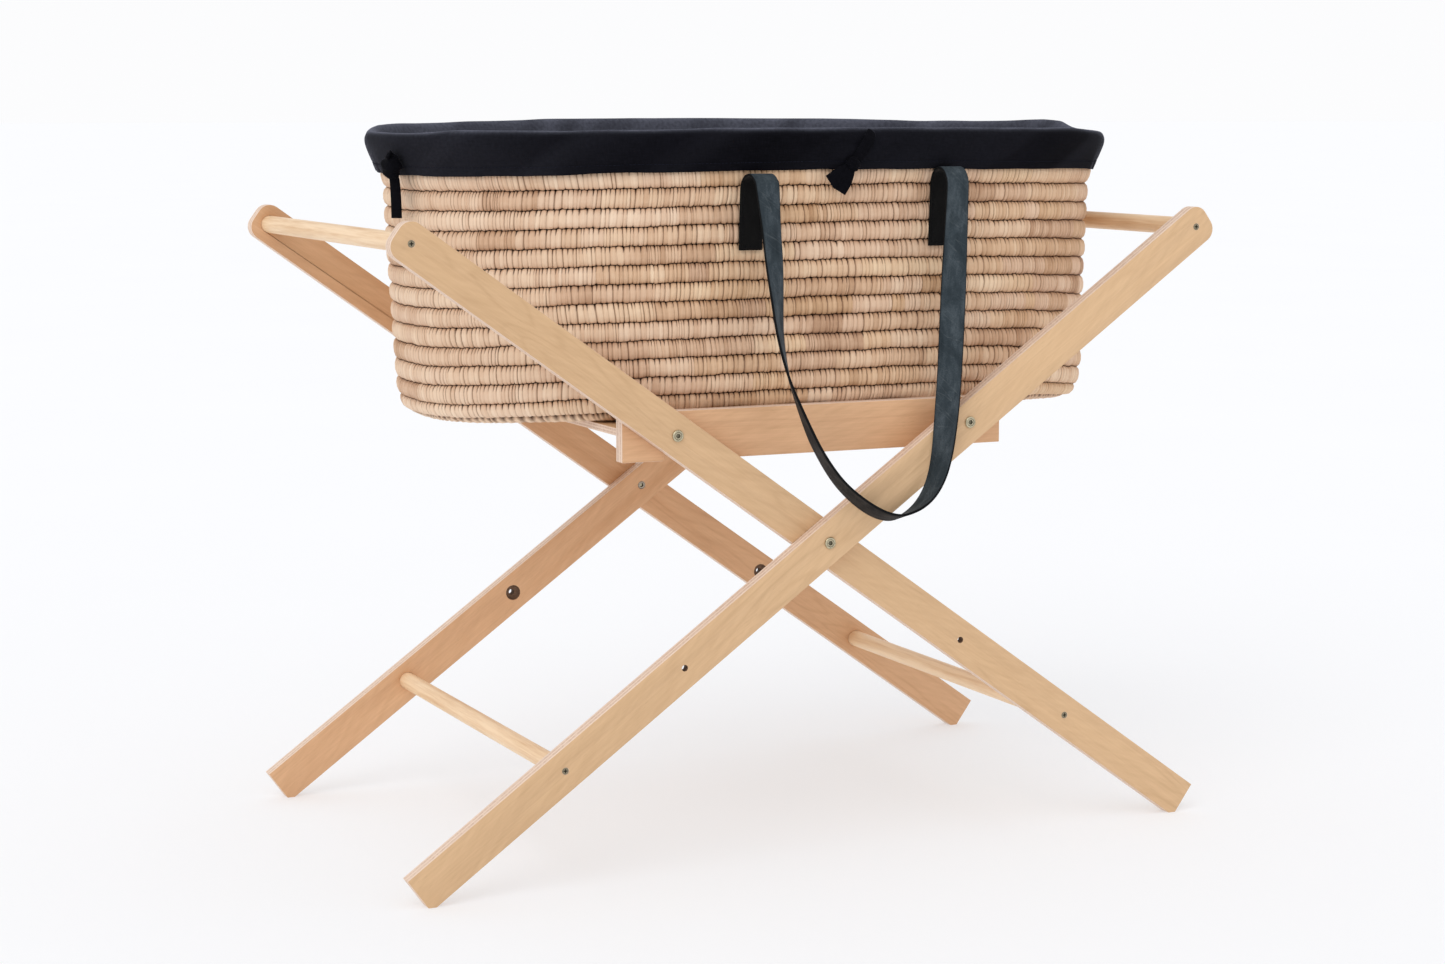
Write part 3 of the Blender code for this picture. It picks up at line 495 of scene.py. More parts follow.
def make_stage():
    w = Mat("studio_floor", rough=0.9, specular=0.0)
    n = w.noise(w.coords(), scale=1.3, detail=2.0)
    w.colour(w.ramp(n, [(0.3, (0.612, 0.620, 0.634)), (0.7, (0.618, 0.626, 0.640))]))
    # a lit cove: part of the floor's brightness is its own, which keeps the shadows pale
    w.bsdf.inputs["Emission Color"].default_value = (0.985, 0.985, 1.0, 1)
    w.bsdf.inputs["Emission Strength"].default_value = 0.360
    w.m.cycles.emission_sampling = "NONE"
    bm = bmesh.new()
    # a wide flat disc; its far edge meets a world of the same brightness
    n_seg = 96
    centre = bm.verts.new((0, 0, 0))
    last = None
    for r in (4.0, 12.0, 40.0, 120.0):
        ring = [bm.verts.new((r * math.cos(2 * math.pi * k / n_seg), r * math.sin(2 * math.pi * k / n_seg), 0)) for k in range(n_seg)]
        for k in range(n_seg):
            if last is None:
                bm.faces.new((centre, ring[k], ring[(k + 1) % n_seg]))
            else:
                bm.faces.new((last[k], ring[k], ring[(k + 1) % n_seg], last[(k + 1) % n_seg]))
        last = ring
    me = bpy.data.meshes.new("floor")
    bm.to_mesh(me)
    bm.free()
    me.shade_smooth()
    me.materials.append(w.m)
    ob = bpy.data.objects.new("floor", me)
    bpy.context.scene.collection.objects.link(ob)

    world = bpy.data.worlds.new("studio")
    world.use_nodes = True
    bpy.context.scene.world = world
    nt = world.node_tree
    bg = nt.nodes["Background"]
    bg.inputs["Strength"].default_value = 1.0
    # softboxes painted into the sky by direction: white low down, greyer overhead
    tc = nt.nodes.new("ShaderNodeTexCoord")
    sep = nt.nodes.new("ShaderNodeSeparateXYZ")
    nt.links.new(tc.outputs["Generated"], sep.inputs[0])
    ramp = nt.nodes.new("ShaderNodeValToRGB")
    e = ramp.color_ramp.elements
    e[0].position, e[0].color = 0.0, (0.975, 0.976, 0.985, 1)
    e[1].position, e[1].color = 1.0, (0.745, 0.745, 0.75, 1)
    for place, v in ((0.18, 0.965), (0.45, 0.80)):
        el = e.new(place)
        el.color = (v, v, v * 1.012, 1)
    nt.links.new(sep.outputs[2], ramp.inputs["Fac"])
    nt.links.new(ramp.outputs["Color"], bg.inputs["Color"])

    def sun(name, direction, strength, spread, colour=(1, 1, 1)):
        d = bpy.data.lights.new(name, "SUN")
        d.energy = strength
        d.angle = math.radians(spread)
        d.color = colour
        o = bpy.data.objects.new(name, d)
        o.rotation_mode = "QUATERNION"
        o.rotation_quaternion = Vector(direction).to_track_quat("-Z", "Y")
        bpy.context.scene.collection.objects.link(o)

    sun("key", (0.60, 0.52, -0.72), 0.68, 46, (1.0, 0.995, 0.985))
    sun("top", (-0.10, -0.20, -1.0), 0.22, 80)
    bpy.context.scene.view_settings.view_transform = "Standard"
    bpy.context.scene.view_settings.look = "None"


# ------------------------------------------------------------------ the basket's shape
def length_over_width(z):
    z = np.asarray(z, float)
    mid = 0.1765 - (z - 0.50) / 0.19 * 0.0054
    top = 0.1711 + np.minimum(1.0, (z - 0.69) / 0.05) * 0.0034
    return np.where(z < 0.50, 0.1765, np.where(z < 0.69, mid, top))


def oval_points(half_width, z, t):
    """Points of the basket's plan at angles t, for arrays of half width and height."""
    b = np.asarray(half_width, float)
    z = np.asarray(z, float)
    a = b + length_over_width(z)
    c, s = np.cos(t), np.sin(t)
    x = a * np.sign(c) * np.abs(c) ** (2 / BASKET_N)
    y = b * np.sign(s) * np.abs(s) ** (2 / BASKET_N)
    up = np.clip((z - 0.60) / 0.15, 0, 1)
    low = np.clip((0.70 - z) / 0.245, 0, 1)
    over = np.maximum(0.0, (np.abs(x) - 0.20) / 0.19)
    dz = -END_DROOP * low * over ** 2 + up * (RIM_CROWN * (1 - (x / a) ** 2) + RIM_TILT * y / np.maximum(b, 1e-6))
    # the lower part sits a little to the right, and its left end droops less
    sag = np.clip((0.63 - z) / 0.13, 0, 1)
    dz = dz + np.where(x < 0, 0.40, 0.05) * END_DROOP * low * over ** 2
    return np.stack([BASKET_X + x + 0.0034 * sag, y, z + dz], -1)


def shifted(profile, distance):
    out = []
    for i, (b, z) in enumerate(profile):
        p = profile[max(0, i - 1)]
        q = profile[min(len(profile) - 1, i + 1)]
        tx, tz = q[0] - p[0], q[1] - p[1]
        n = math.hypot(tx, tz)
        out.append((b + distance * tz / n, z - distance * tx / n))
    return out


def inside_wall():
    floor = BASKET_BOTTOM + BASKET_WALL
    side = [p for p in shifted(WALL, -BASKET_WALL)[1:] if p[1] < 0.730]
    return [(side[0][0] - 0.0110, floor)] + side + [(0.2268, 0.7340), (0.2290, 0.7410), (0.2322, 0.7458)]


def dense_profile(points, step=0.0005, sigma=0.004):
    """A polyline read at even steps and rounded, as (half width, height) at arc lengths."""
    p = np.array(points, float)
    d = np.concatenate([[0], np.cumsum(np.hypot(*np.diff(p, axis=0).T))])
    s = np.arange(0, d[-1], step)
    q = np.stack([np.interp(s, d, p[:, 0]), np.interp(s, d, p[:, 1])], 1)
    k = np.arange(-int(4 * sigma / step), int(4 * sigma / step) + 1)
    g = np.exp(-0.5 * (k * step / sigma) ** 2)
    g /= g.sum()
    ext = np.concatenate([np.outer(np.arange(len(k) // 2, 0, -1), q[0] - q[1]) + q[0], q,
                          np.outer(np.arange(1, len(k) // 2 + 1), q[-1] - q[-2]) + q[-1]])
    r = np.stack([np.convolve(ext[:, i], g, "valid") for i in (0, 1)], 1)
    return s, r


OUTER_S, OUTER_P = dense_profile([(0.2300, 0.7120)] + [p for p in reversed(WALL) if p[1] <= 0.7001] + [(0.0040, 0.4556)])


def outer_at(s):
    return np.interp(s, OUTER_S, OUTER_P[:, 0]), np.interp(s, OUTER_S, OUTER_P[:, 1])


def s_of_height(z):
    """Arc length down the wall at a height, on the straight part of the wall."""
    keep = OUTER_S < 0.262
    zs, ss = OUTER_P[keep, 1][::-1], OUTER_S[keep][::-1]
    return np.interp(z, zs, ss)


def even_angles(b, z, count=7200):
    """Angle and distance round an oval, for placing points by distance."""
    t = np.linspace(0, 2 * np.pi, count + 1)
    p = oval_points(np.full_like(t, b), np.full_like(t, z), t)
    d = np.concatenate([[0], np.cumsum(np.linalg.norm(np.diff(p, axis=0), axis=1))])
    return t, d


COIL_D = 0.0056      # depth of the groove between two coils
LINES = 12           # stitched lines between the rim's cloth and the last coil of the side


def line_height(k, e, right=0.5):
    """Height of stitched line k at the middle of a side (e 0) and at the ends (e 1). The coils
    are a little thicker at the right end."""
    mid = 0.6928 - (k - 1) * 0.018927
    end = 0.6884 - (k - 1) * (0.01940 + 0.00062 * right)
    return mid + (end - mid) * e


def coil_lines(k, e, right=0.5):
    if k <= LINES:
        return s_of_height(line_height(k, e, right))
    return s_of_height(line_height(LINES, e, right)) + (k - LINES) * (0.0192 - 0.0010 * e * (k == LINES + 1))


def make_coils(material):
    """Every coil of the basket: a bundle wound with split leaf, sewn to the coil above it."""
    base_coils = int((OUTER_S[-1] - coil_lines(LINES, 0.0)) / 0.0192)
    total = LINES + base_coils
    groups = {}
    tone_rng = np.random.default_rng(5)
    for k in range(total):
        side = k <= LINES
        rows = np.radians([-90, -90, -78, -66, -45, -16, 16, 45, 66, 78, 90, 90] if side else [-90, -72, -38, 0, 38, 72, 90])
        s_mid = float(np.mean([coil_lines(k, 0.0), coil_lines(k + 1, 0.0)]))
        b0, z0 = outer_at(min(s_mid, OUTER_S[-1]))
        t_ref, d_ref = even_angles(float(b0), float(z0))
        # the join of each coil lies at the back
        start = d_ref[np.searchsorted(t_ref, math.pi / 2 + 0.11 * math.sin(k * 2.3))]
        length = d_ref[-1]
        rng = np.random.default_rng(100 + k)
        mean = 0.0050 if side else 0.0075
        n = int(length / mean)
        slow = 1 + 0.28 * smooth_noise(np.arange(n), 9.0, 200 + k, 61)
        width = rng.uniform(0.62, 1.42, n) * slow
        # two or three narrow turns often sit together
        width *= np.where(rng.random(n) < 0.12, 0.58, 1.0)
        width *= length / width.sum()
        at = np.concatenate([[0], np.cumsum(width)])
        steps = np.array([0.0, 0.20, 0.5, 0.80]) if side else np.array([0.0, 0.5])
        cols_s = np.concatenate([(at[:-1, None] + width[:, None] * steps[None]).ravel(), [length]])
        m = len(steps)
        wrap = np.concatenate([np.repeat(np.arange(n), m), [0]])
        place = np.concatenate([np.tile(steps, n), [0.0]])
        # tone by piece of leaf: one strip makes several turns before the next begins
        tone = np.zeros(n)
        hue = np.zeros(n)
        i = 0
        while i < n:
            run = int(tone_rng.integers(3, 22))
            tone[i:i + run] = np.clip(tone_rng.normal(0.60, 0.065), 0.40, 0.78) - (0.20 if tone_rng.random() < 0.09 else 0.0)
            hue[i:i + run] = tone_rng.random() ** 1.4
            i += run
        tone += rng.normal(0, 0.060, n) + 0.05 * smooth_noise(np.arange(n), 24.0, 300 + k, 31)
        lift = rng.uniform(-0.00022, 0.00022, n)
        crown = rng.uniform(0.00045, 0.00085, n)
        deep = np.where(rng.random(n) < 0.22, rng.uniform(0.0005, 0.0011, n), rng.uniform(0.0, 0.00030, n))
        notch_top = rng.uniform(0.75, 1.45, n)
        notch_low = rng.uniform(0.20, 0.95, n)
        slant = 0.0011 * smooth_noise(np.arange(n), 40.0, 400 + k, 17) + rng.normal(0, 0.00028, n)

        v = np.sin(rows)                      # +1 at the coil's upper line
        out = np.cos(rows)
        R, C = len(rows), len(cols_s)
        along = cols_s[None, :] + slant[wrap][None, :] * v[:, None] * 1.0
        along = np.where((np.arange(C) == C - 1)[None, :], cols_s[None, :] + slant[0] * v[:, None], along)
        dist = (start + along) % length
        t = np.interp(dist, d_ref, t_ref)
        plan = oval_points(np.full(C, float(b0)), np.full(C, float(z0)), np.interp((start + cols_s) % length, d_ref, t_ref))
        e = np.clip((np.abs(plan[:, 0] - BASKET_X) - 0.06) / 0.33, 0, 1) ** 1.6
        right = np.clip((plan[:, 0] - BASKET_X) / 0.25 * 0.5 + 0.5, 0, 1)
        top, low = coil_lines(k, e, right), coil_lines(k + 1, e, right)
        # the sewing wanders a little
        wander = 0.0006 * smooth_noise(cols_s, length / 46, 500 + k, 46)
        turned = (cols_s + start) % length
        wander_low = 0.0006 * smooth_noise(turned, length / 46, 900 + k + 1, 46) + 0.00055 * smooth_noise(turned, length / 400, 1300 + k + 1, 400)
        wander_top = 0.0006 * smooth_noise(turned, length / 46, 900 + k, 46) + 0.00055 * smooth_noise(turned, length / 400, 1300 + k, 400)
        top, low = top + wander_top, low + wander_low
        s = (top + low)[None, :] / 2 - v[:, None] * (low - top)[None, :] / 2
        if side:
            edge_rows = ((np.abs(v) > 0.955) & (np.arange(R) > 0) & (np.arange(R) < R - 1))[:, None]
            seam_cols = (place == 0.0)[None, :]
            s = s + edge_rows * seam_cols * np.where(v[:, None] > 0, 0.00205 * notch_top[wrap][None, :], -0.00125 * notch_low[wrap][None, :])
            mid_cols = (place == 0.5)[None, :]
            s = s - edge_rows * mid_cols * np.where(v[:, None] > 0, 0.00045, -0.00020)
        s = np.clip(s, 0.0, OUTER_S[-1] - 0.0006)
        b, z = outer_at(s)
        P = oval_points(b, z, t)
        ds, dt = 0.0004, 0.0009
        b2, z2 = outer_at(np.clip(s + ds, 0, OUTER_S[-1]))
        Ps = oval_points(b2, z2, t) - P
        Pt = oval_points(b, z, t + dt) - P
        N = np.cross(Ps, Pt)
        ln = np.linalg.norm(N, axis=-1, keepdims=True)
        N = N / np.maximum(ln, 1e-12)
        # outward: away from the basket's middle on the wall, down on the base
        ref = np.stack([P[..., 0] - BASKET_X, P[..., 1] * 2.5, (P[..., 2] - 0.60) * 1.2], -1)
        N = N * np.where((N * ref).sum(-1, keepdims=True) < 0, -1.0, 1.0)
        across = 1 - np.abs(2 * place - 1) ** 2.6
        is_seam = place == 0.0
        lip = 1.0 * (np.abs(np.degrees(rows)) > 85)
        body = np.clip((0.995 - np.abs(v)) / 0.25, 0, 1)
        bulge = COIL_D * out[:, None] ** 0.85 + (crown * 0)[wrap][None, :]
        rise = (lift + crown)[wrap][None, :] * across[None, :] * body[:, None]
        rise = rise + lift[wrap][None, :] * body[:, None] * (~is_seam)[None, :] * 0.5
        seam_drop = -deep[wrap][None, :] * is_seam[None, :] * body[:, None]
        # where a turn enters the coil beside it, the leaf narrows and leaves a notch, which is also painted dark below
        # as shade
        near_top = np.clip((v - 0.42) / 0.50, 0, 1)[:, None]
        near_low = np.clip((-v - 0.62) / 0.36, 0, 1)[:, None]
        notch = (near_top * notch_top[wrap][None, :] + near_low * notch_low[wrap][None, :]) * is_seam[None, :]
        notch_drop = -0.0015 * notch
        if not side:
            rise, seam_drop, notch_drop = rise * 0.6, seam_drop, notch_drop * 0.5
        depth = -COIL_D + bulge + rise + seam_drop + notch_drop
        first_last = np.zeros(R)
        if side:
            first_last[0] = first_last[-1] = 1.0
        depth = depth - 0.0030 * first_last[:, None]
        P = P + N * depth[..., None]

        # painted shade: near black on the rows in the groove between two coils, and in the notches
        joint = np.clip((np.abs(v)[:, None] - 0.94) / 0.05, 0, 1) * np.ones((1, C))
        joint = np.maximum(joint, np.clip(notch * 1.15, 0, 1) * is_seam[None, :])
        # painted shade in the crease between two turns, stronger where the crease is deeper
        crease_shade = is_seam[None, :] * np.clip(0.22 + deep[wrap][None, :] * 1100, 0, 1) * np.ones((R, 1))
        # tone per strip, plus painted highlight across the middle of each turn where it is crowned, and painted shade
        # towards the coil's upper and lower edges
        tone_with_painted_light = tone[wrap][None, :] + 0.07 * across[None, :] - 0.26 * np.clip((np.abs(v)[:, None] - 0.55) / 0.40, 0, 1)
        # painted light: lighter towards the left end of the basket, and less warm there (hue below)
        painted_light_left = np.clip((-0.10 - P[..., 0]) / 0.20, 0, 1)
        tone_with_painted_light = tone_with_painted_light + 0.16 * painted_light_left
        # darker round one patch low on the left of the side
        tone_with_painted_light = tone_with_painted_light - 0.12 * np.exp(-((P[..., 0] + 0.10) / 0.07) ** 2 - ((P[..., 2] - 0.556) / 0.030) ** 2)
        uvu = cols_s[None, :] + np.zeros((R, 1)) + k * 0.413
        uvv = s + k * 0.0
        g = "basket_coils_%d" % (1 + min(3, k // 4)) if side else "basket_base_coils"
        data = groups.setdefault(g, {"P": [], "F": [], "tone": [], "joint": [], "crease_shade": [], "hue": [], "uv": [], "n": 0})
        data["P"].append(P.reshape(-1, 3))
        data["F"].append(grid(R, C, offset=data["n"]))
        data["n"] += R * C
        data["tone"].append(tone_with_painted_light.ravel())
        data["joint"].append(joint.ravel())
        data["crease_shade"].append(crease_shade.ravel())
        # painted light: less warm towards the left end
        data["hue"].append((hue[wrap][None, :] * (1 - 0.7 * painted_light_left)).ravel())
        data["uv"].append(np.stack([uvu, uvv], -1).reshape(-1, 2))
    made = []
    for name, d in groups.items():
        ob = new_object(name, np.concatenate(d["P"]), np.concatenate(d["F"]), [material])
        for key in ("tone", "joint", "crease_shade", "hue"):
            point_attribute(ob, key, np.concatenate(d[key]))
        point_uv(ob, np.concatenate(d["uv"]))
        outward(ob, Vector((BASKET_X, 0, 0.60)))
        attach(ob, "basket")
        made.append(ob)
    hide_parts("basket_shell")
    return made


def outward(ob, centre):
    """Turns the faces to look away from a point inside, by the sum over the faces."""
    me = ob.data
    n = len(me.polygons)
    c, no, ar = np.zeros(n * 3, np.float32), np.zeros(n * 3, np.float32), np.zeros(n, np.float32)
    me.polygons.foreach_get("center", c)
    me.polygons.foreach_get("normal", no)
    me.polygons.foreach_get("area", ar)
    d = (c.reshape(-1, 3) - np.array(centre)) * no.reshape(-1, 3)
    if (d.sum(1) * ar).sum() < 0:
        me.flip_normals()


# ------------------------------------------------------------------ the liner
def make_liner(material, stitch_material):
    """The cloth: floor, sides, over the rim and down outside to a turned hem."""
    surface = inside_wall() + [p for p in reversed(WALL) if p[1] >= 0.6999]
    floor = BASKET_BOTTOM + BASKET_WALL
    pts = shifted(surface, -(GAP + LINER_T))
    pts[0] = (surface[0][0] - 0.5 * (GAP + LINER_T), floor + GAP + LINER_T)
    pts[-1] = (pts[-1][0], 0.6985)
    ss, pp = dense_profile(pts, sigma=0.0030)
    total = ss[-1]
    # heights on the wall: wide steps on the sides, fine ones over the rim and at the hem
    rim = ss[np.argmax(pp[:, 1])]
    rows = np.concatenate([
        np.linspace(0, rim - 0.03, 22, endpoint=False),
        np.linspace(rim - 0.03, rim + 0.012, 18, endpoint=False),
        np.linspace(rim + 0.012, total - 0.014, 10, endpoint=False),
        np.linspace(total - 0.014, total, 12)])
    b, z = np.interp(rows, ss, pp[:, 0]), np.interp(rows, ss, pp[:, 1])
    t_ref, d_ref = even_angles(0.235, 0.735)
    C = 720
    length = d_ref[-1]
    d = np.arange(C) * length / C
    t = np.interp(d, d_ref, t_ref)
    # the hem is drawn up highest at the middle of each side
    plan = oval_points(np.full(C, 0.235), np.full(C, 0.735), t)
    middle = np.clip(1 - ((plan[:, 0] - BASKET_X + 0.03) / 0.40) ** 2, 0, 1)
    raised = 1.055 * (0.0060 + 0.0043 * middle)
    scale = (total - rim - raised) / (total - rim)
    S = np.where(rows[:, None] > rim, rim + (rows[:, None] - rim) * scale[None, :], rows[:, None])
    T = np.broadcast_to(t, S.shape)

    def surface_at(s_, t_):
        s_ = np.clip(s_, 0, total)
        return oval_points(np.interp(s_, ss, pp[:, 0]), np.interp(s_, ss, pp[:, 1]), t_)

    P = surface_at(S, T)
    Ps = surface_at(S + 0.0005, T) - surface_at(S - 0.0005, T)
    Pt = surface_at(S, T + 0.001) - surface_at(S, T - 0.001)
    N = np.cross(Pt, Ps)
    N /= np.maximum(np.linalg.norm(N, axis=-1, keepdims=True), 1e-12)
    # the cloth's free side looks into the basket on the inside and away from it on the flap
    mid_row = 10
    toward = np.stack([BASKET_X - P[mid_row, :, 0], -P[mid_row, :, 1]], -1)
    if (N[mid_row, :, :2] * toward).sum() < 0:
        N = -N
    r = rows[:, None]
    flap = np.clip((r - rim) / 0.010, 0, 1)
    inside = 1 - np.clip((r - (rim - 0.02)) / 0.02, 0, 1)
    to_hem = np.clip((r - (total - 0.030)) / 0.030, 0, 1)
    dd = d[None, :]
    wave = lambda p, seed: smooth_noise(dd, length / p, seed, p)
    w = 0.0017 * wave(38, 1) * flap * (0.35 + 0.65 * to_hem)
    w = w + 0.0011 * smooth_noise(dd + 1.2 * (r - rim), length / 64, 2, 64) * flap
    w = w + 0.0014 * smooth_noise(dd + 0.25 * r, length / 30, 3, 30) * inside
    w = w + 0.0007 * smooth_noise(dd - 0.5 * r, length / 66, 4, 66) * inside
    # elastic gathers at the hem, strongest round the ends
    ends = np.clip((np.abs(P[-1, :, 0] - BASKET_X) - 0.27) / 0.11, 0, 1)[None, :]
    w = w + 0.0006 * (0.30 + 0.9 * ends) * smooth_noise(dd, length / 210, 5, 210) * to_hem ** 1.5
    # soft diagonal pulls beside the front and rear ties
    for tie_t in (-math.pi / 2, math.pi / 2):
        tie = np.interp(tie_t % (2 * math.pi), t_ref, d_ref)
        off = (dd - tie + length / 2) % length - length / 2
        fold = np.exp(-((r - rim - 0.024 - 0.06 * np.abs(off)) / 0.0045) ** 2) * np.exp(-(np.abs(off) / 0.085) ** 2)
        w = w - 0.0019 * fold * flap
    # the crest rolls softly up and down
    crest = np.exp(-((r - rim) / 0.014) ** 2)
    left_end = np.clip((-0.350 - plan[:, 0]) / 0.045, 0, 1)[None, :]
    up = crest * (0.0023 + 0.0006 * wave(26, 6) + 0.0004 * wave(60, 7) - 0.0055 * left_end)
    # the rim hangs lower round its front right corner
    reach = plan[:, 0] * 0.909 - plan[:, 1] * 0.416
    droop = np.interp(reach, [0.372, 0.402, 0.427, 0.438], [0.0, 0.0030, 0.0072, 0.0125])[None, :]
    up = up - droop * np.exp(-((r - rim) / 0.020) ** 2)
    # a peaked pleat at the right end of the rim, towards the back
    peak = int(np.argmin((plan[:, 0] - 0.4360) ** 2 + (plan[:, 1] - 0.0180) ** 2))
    off = (dd - d[peak] + length / 2) % length - length / 2
    pleat = np.where(off > 0, np.exp(-(off / 0.110) ** 2), np.exp(-(off / 0.020) ** 2))
    up = up + 0.0060 * pleat * np.exp(-((r - rim) / 0.010) ** 2)
    # turned hem: a little thicker, with the line of stitching drawn in
    hem = np.clip((r - (total - 0.0105)) / 0.0008, 0, 1)
    drawn = np.exp(-((r - (total - 0.0098)) / 0.0011) ** 2)
    w = w + 0.0005 * hem - 0.0005 * drawn
    low_edge = to_hem ** 2 * (0.0011 * wave(22, 8) + 0.0005 * wave(70, 9))
    P = P + N * w[..., None]
    P[..., 2] += up + low_edge
    # close the floor with one more ring and a strip across
    R = len(rows)
    verts = P.reshape(-1, 3)
    faces = grid(R, C, closed=True)
    strip = []
    for i in range(C // 2):
        a, b2, c2, d2 = i, i + 1, C - i - 1, (C - i) % C
        strip.append([a, b2, c2, d2])
    quads = [q for q in strip if len(set(q)) == 4]
    tris = [list(dict.fromkeys(q)) for q in strip if len(set(q)) == 3]
    allf = [tuple(map(int, f)) for f in faces] + [tuple(q) for q in quads] + [tuple(q) for q in tris]
    ob = new_object("liner_cloth", verts, allf, [material])
    uv = np.stack([np.broadcast_to(dd, (R, C)), np.broadcast_to(r, (R, C))], -1).reshape(-1, 2)
    point_uv(ob, uv)
    # painted sheen: lighter most on the crest and the upper inside, a little on the flap at the left end, and in faint
    # patches over the flap
    painted_sheen = np.exp(-(np.maximum(0, r - rim - 0.0015) / 0.0042) ** 2) * np.clip((r - rim + 0.060) / 0.035, 0, 1)
    painted_sheen = painted_sheen * (0.78 + 0.22 * smooth_noise(dd + 0.7 * r, length / 90, 12, 90)) + 0.09 * ends * flap * (P[-1, :, 0] < BASKET_X)[None, :]
    painted_sheen = painted_sheen * (0.72 + 0.28 * np.clip((r - (rim - 0.010)) / 0.009, 0, 1))
    painted_sheen = painted_sheen + 0.05 * np.clip(smooth_noise(dd + 1.3 * r, length / 48, 13, 48), 0, 1) * flap
    point_attribute(ob, "painted_sheen", np.clip(painted_sheen, 0, 1).ravel())
    bm = bmesh.new()
    bm.from_mesh(ob.data)
    bmesh.ops.recalc_face_normals(bm, faces=bm.faces)
    bm.to_mesh(ob.data)
    bm.free()
    # normals towards the free side, so that the thickness grows towards the basket
    me = ob.data
    ref = me.polygons[mid_row * C + 5]
    inward = Vector((BASKET_X, 0, ref.center.z)) - ref.center
    if ref.normal.dot(inward) < 0:
        me.flip_normals()
    sol = ob.modifiers.new("cloth", "SOLIDIFY")
    sol.thickness = 0.0014
    sol.offset = -1.0
    # the hem's stitches
    row_s = total - 0.0098
    k = int(np.argmin(np.abs(rows - row_s)))
    line = P[k] + N[k] * 0.0003
    stitches = run_of_stitches("liner_hem_stitches", line, N[k], 0.0030, 0.0011, 0.00022, stitch_material, closed=True)
    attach(ob, "basket")
    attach(stitches, "basket")
    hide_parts("liner")
    return ob, stitches


def run_of_stitches(name, line, normals, length, gap, radius, material, closed=False, sides=6):
    """Short threads along a line of points, each one dipping into the cloth at its ends."""
    p = np.asarray(line, float)
    nn = np.asarray(normals, float)
    if closed:
        p, nn = np.concatenate([p, p[:1]]), np.concatenate([nn, nn[:1]])
    d = np.concatenate([[0], np.cumsum(np.linalg.norm(np.diff(p, axis=0), axis=1))])
    at = np.arange(gap / 2, d[-1] - length, length + gap)
    ring = 2 * np.pi * np.arange(sides) / sides
    us = np.array([0.0, 0.18, 0.5, 0.82, 1.0])
    lift = np.array([-1.2, 0.35, 0.9, 0.35, -1.2]) * radius
    size = np.array([0.45, 0.95, 1.0, 0.95, 0.45]) * radius
    verts, faces = [], []
    for s0 in at:
        s = s0 + us * length
        c = np.stack([np.interp(s, d, p[:, i]) for i in range(3)], 1)
        n = np.stack([np.interp(s, d, nn[:, i]) for i in range(3)], 1)
        n /= np.linalg.norm(n, axis=1, keepdims=True)
        tan = c[-1] - c[0]
        tan /= np.linalg.norm(tan)
        bi = np.cross(tan, n)
        bi /= np.linalg.norm(bi, axis=1, keepdims=True)
        base = len(verts)
        for q in range(5):
            for a in ring:
                verts.append(c[q] + n[q] * (lift[q] + size[q] * math.cos(a)) + bi[q] * size[q] * math.sin(a))
        for q in range(4):
            for a in range(sides):
                a2 = (a + 1) % sides
                faces.append((base + q * sides + a, base + q * sides + a2, base + (q + 1) * sides + a2, base + (q + 1) * sides + a))
        faces.append(tuple(base + a for a in reversed(range(sides))))
        faces.append(tuple(base + 4 * sides + a for a in range(sides)))
    ob = new_object(name, verts, faces, [material])
    point_uv(ob, np.asarray(verts)[:, :2] * 1.0)
    return ob


# ------------------------------------------------------------------ flat straps and ribbons
def resample(points, step, closed=False):
    """Catmull-Rom through the points (rows of any width), read at even distances."""
    p = np.asarray(points, float)
    ext = np.vstack([2 * p[0] - p[1], p, 2 * p[-1] - p[-2]])
    out = []
    for i in range(1, len(ext) - 2):
        a, b, c, d = ext[i - 1], ext[i], ext[i + 1], ext[i + 2]
        u = np.linspace(0, 1, 24, endpoint=False)[:, None]
        out.append(0.5 * (2 * b + (c - a) * u + (2 * a - 5 * b + 4 * c - d) * u ** 2 + (3 * b - a - 3 * c + d) * u ** 3))
    out = np.vstack(out + [p[-1:]])
    d = np.concatenate([[0], np.cumsum(np.linalg.norm(np.diff(out[:, :3], axis=0), axis=1))])
    s = np.linspace(0, d[-1], max(2, int(round(d[-1] / step)) + 1))
    return np.stack([np.interp(s, d, out[:, k]) for k in range(out.shape[1])], 1), s


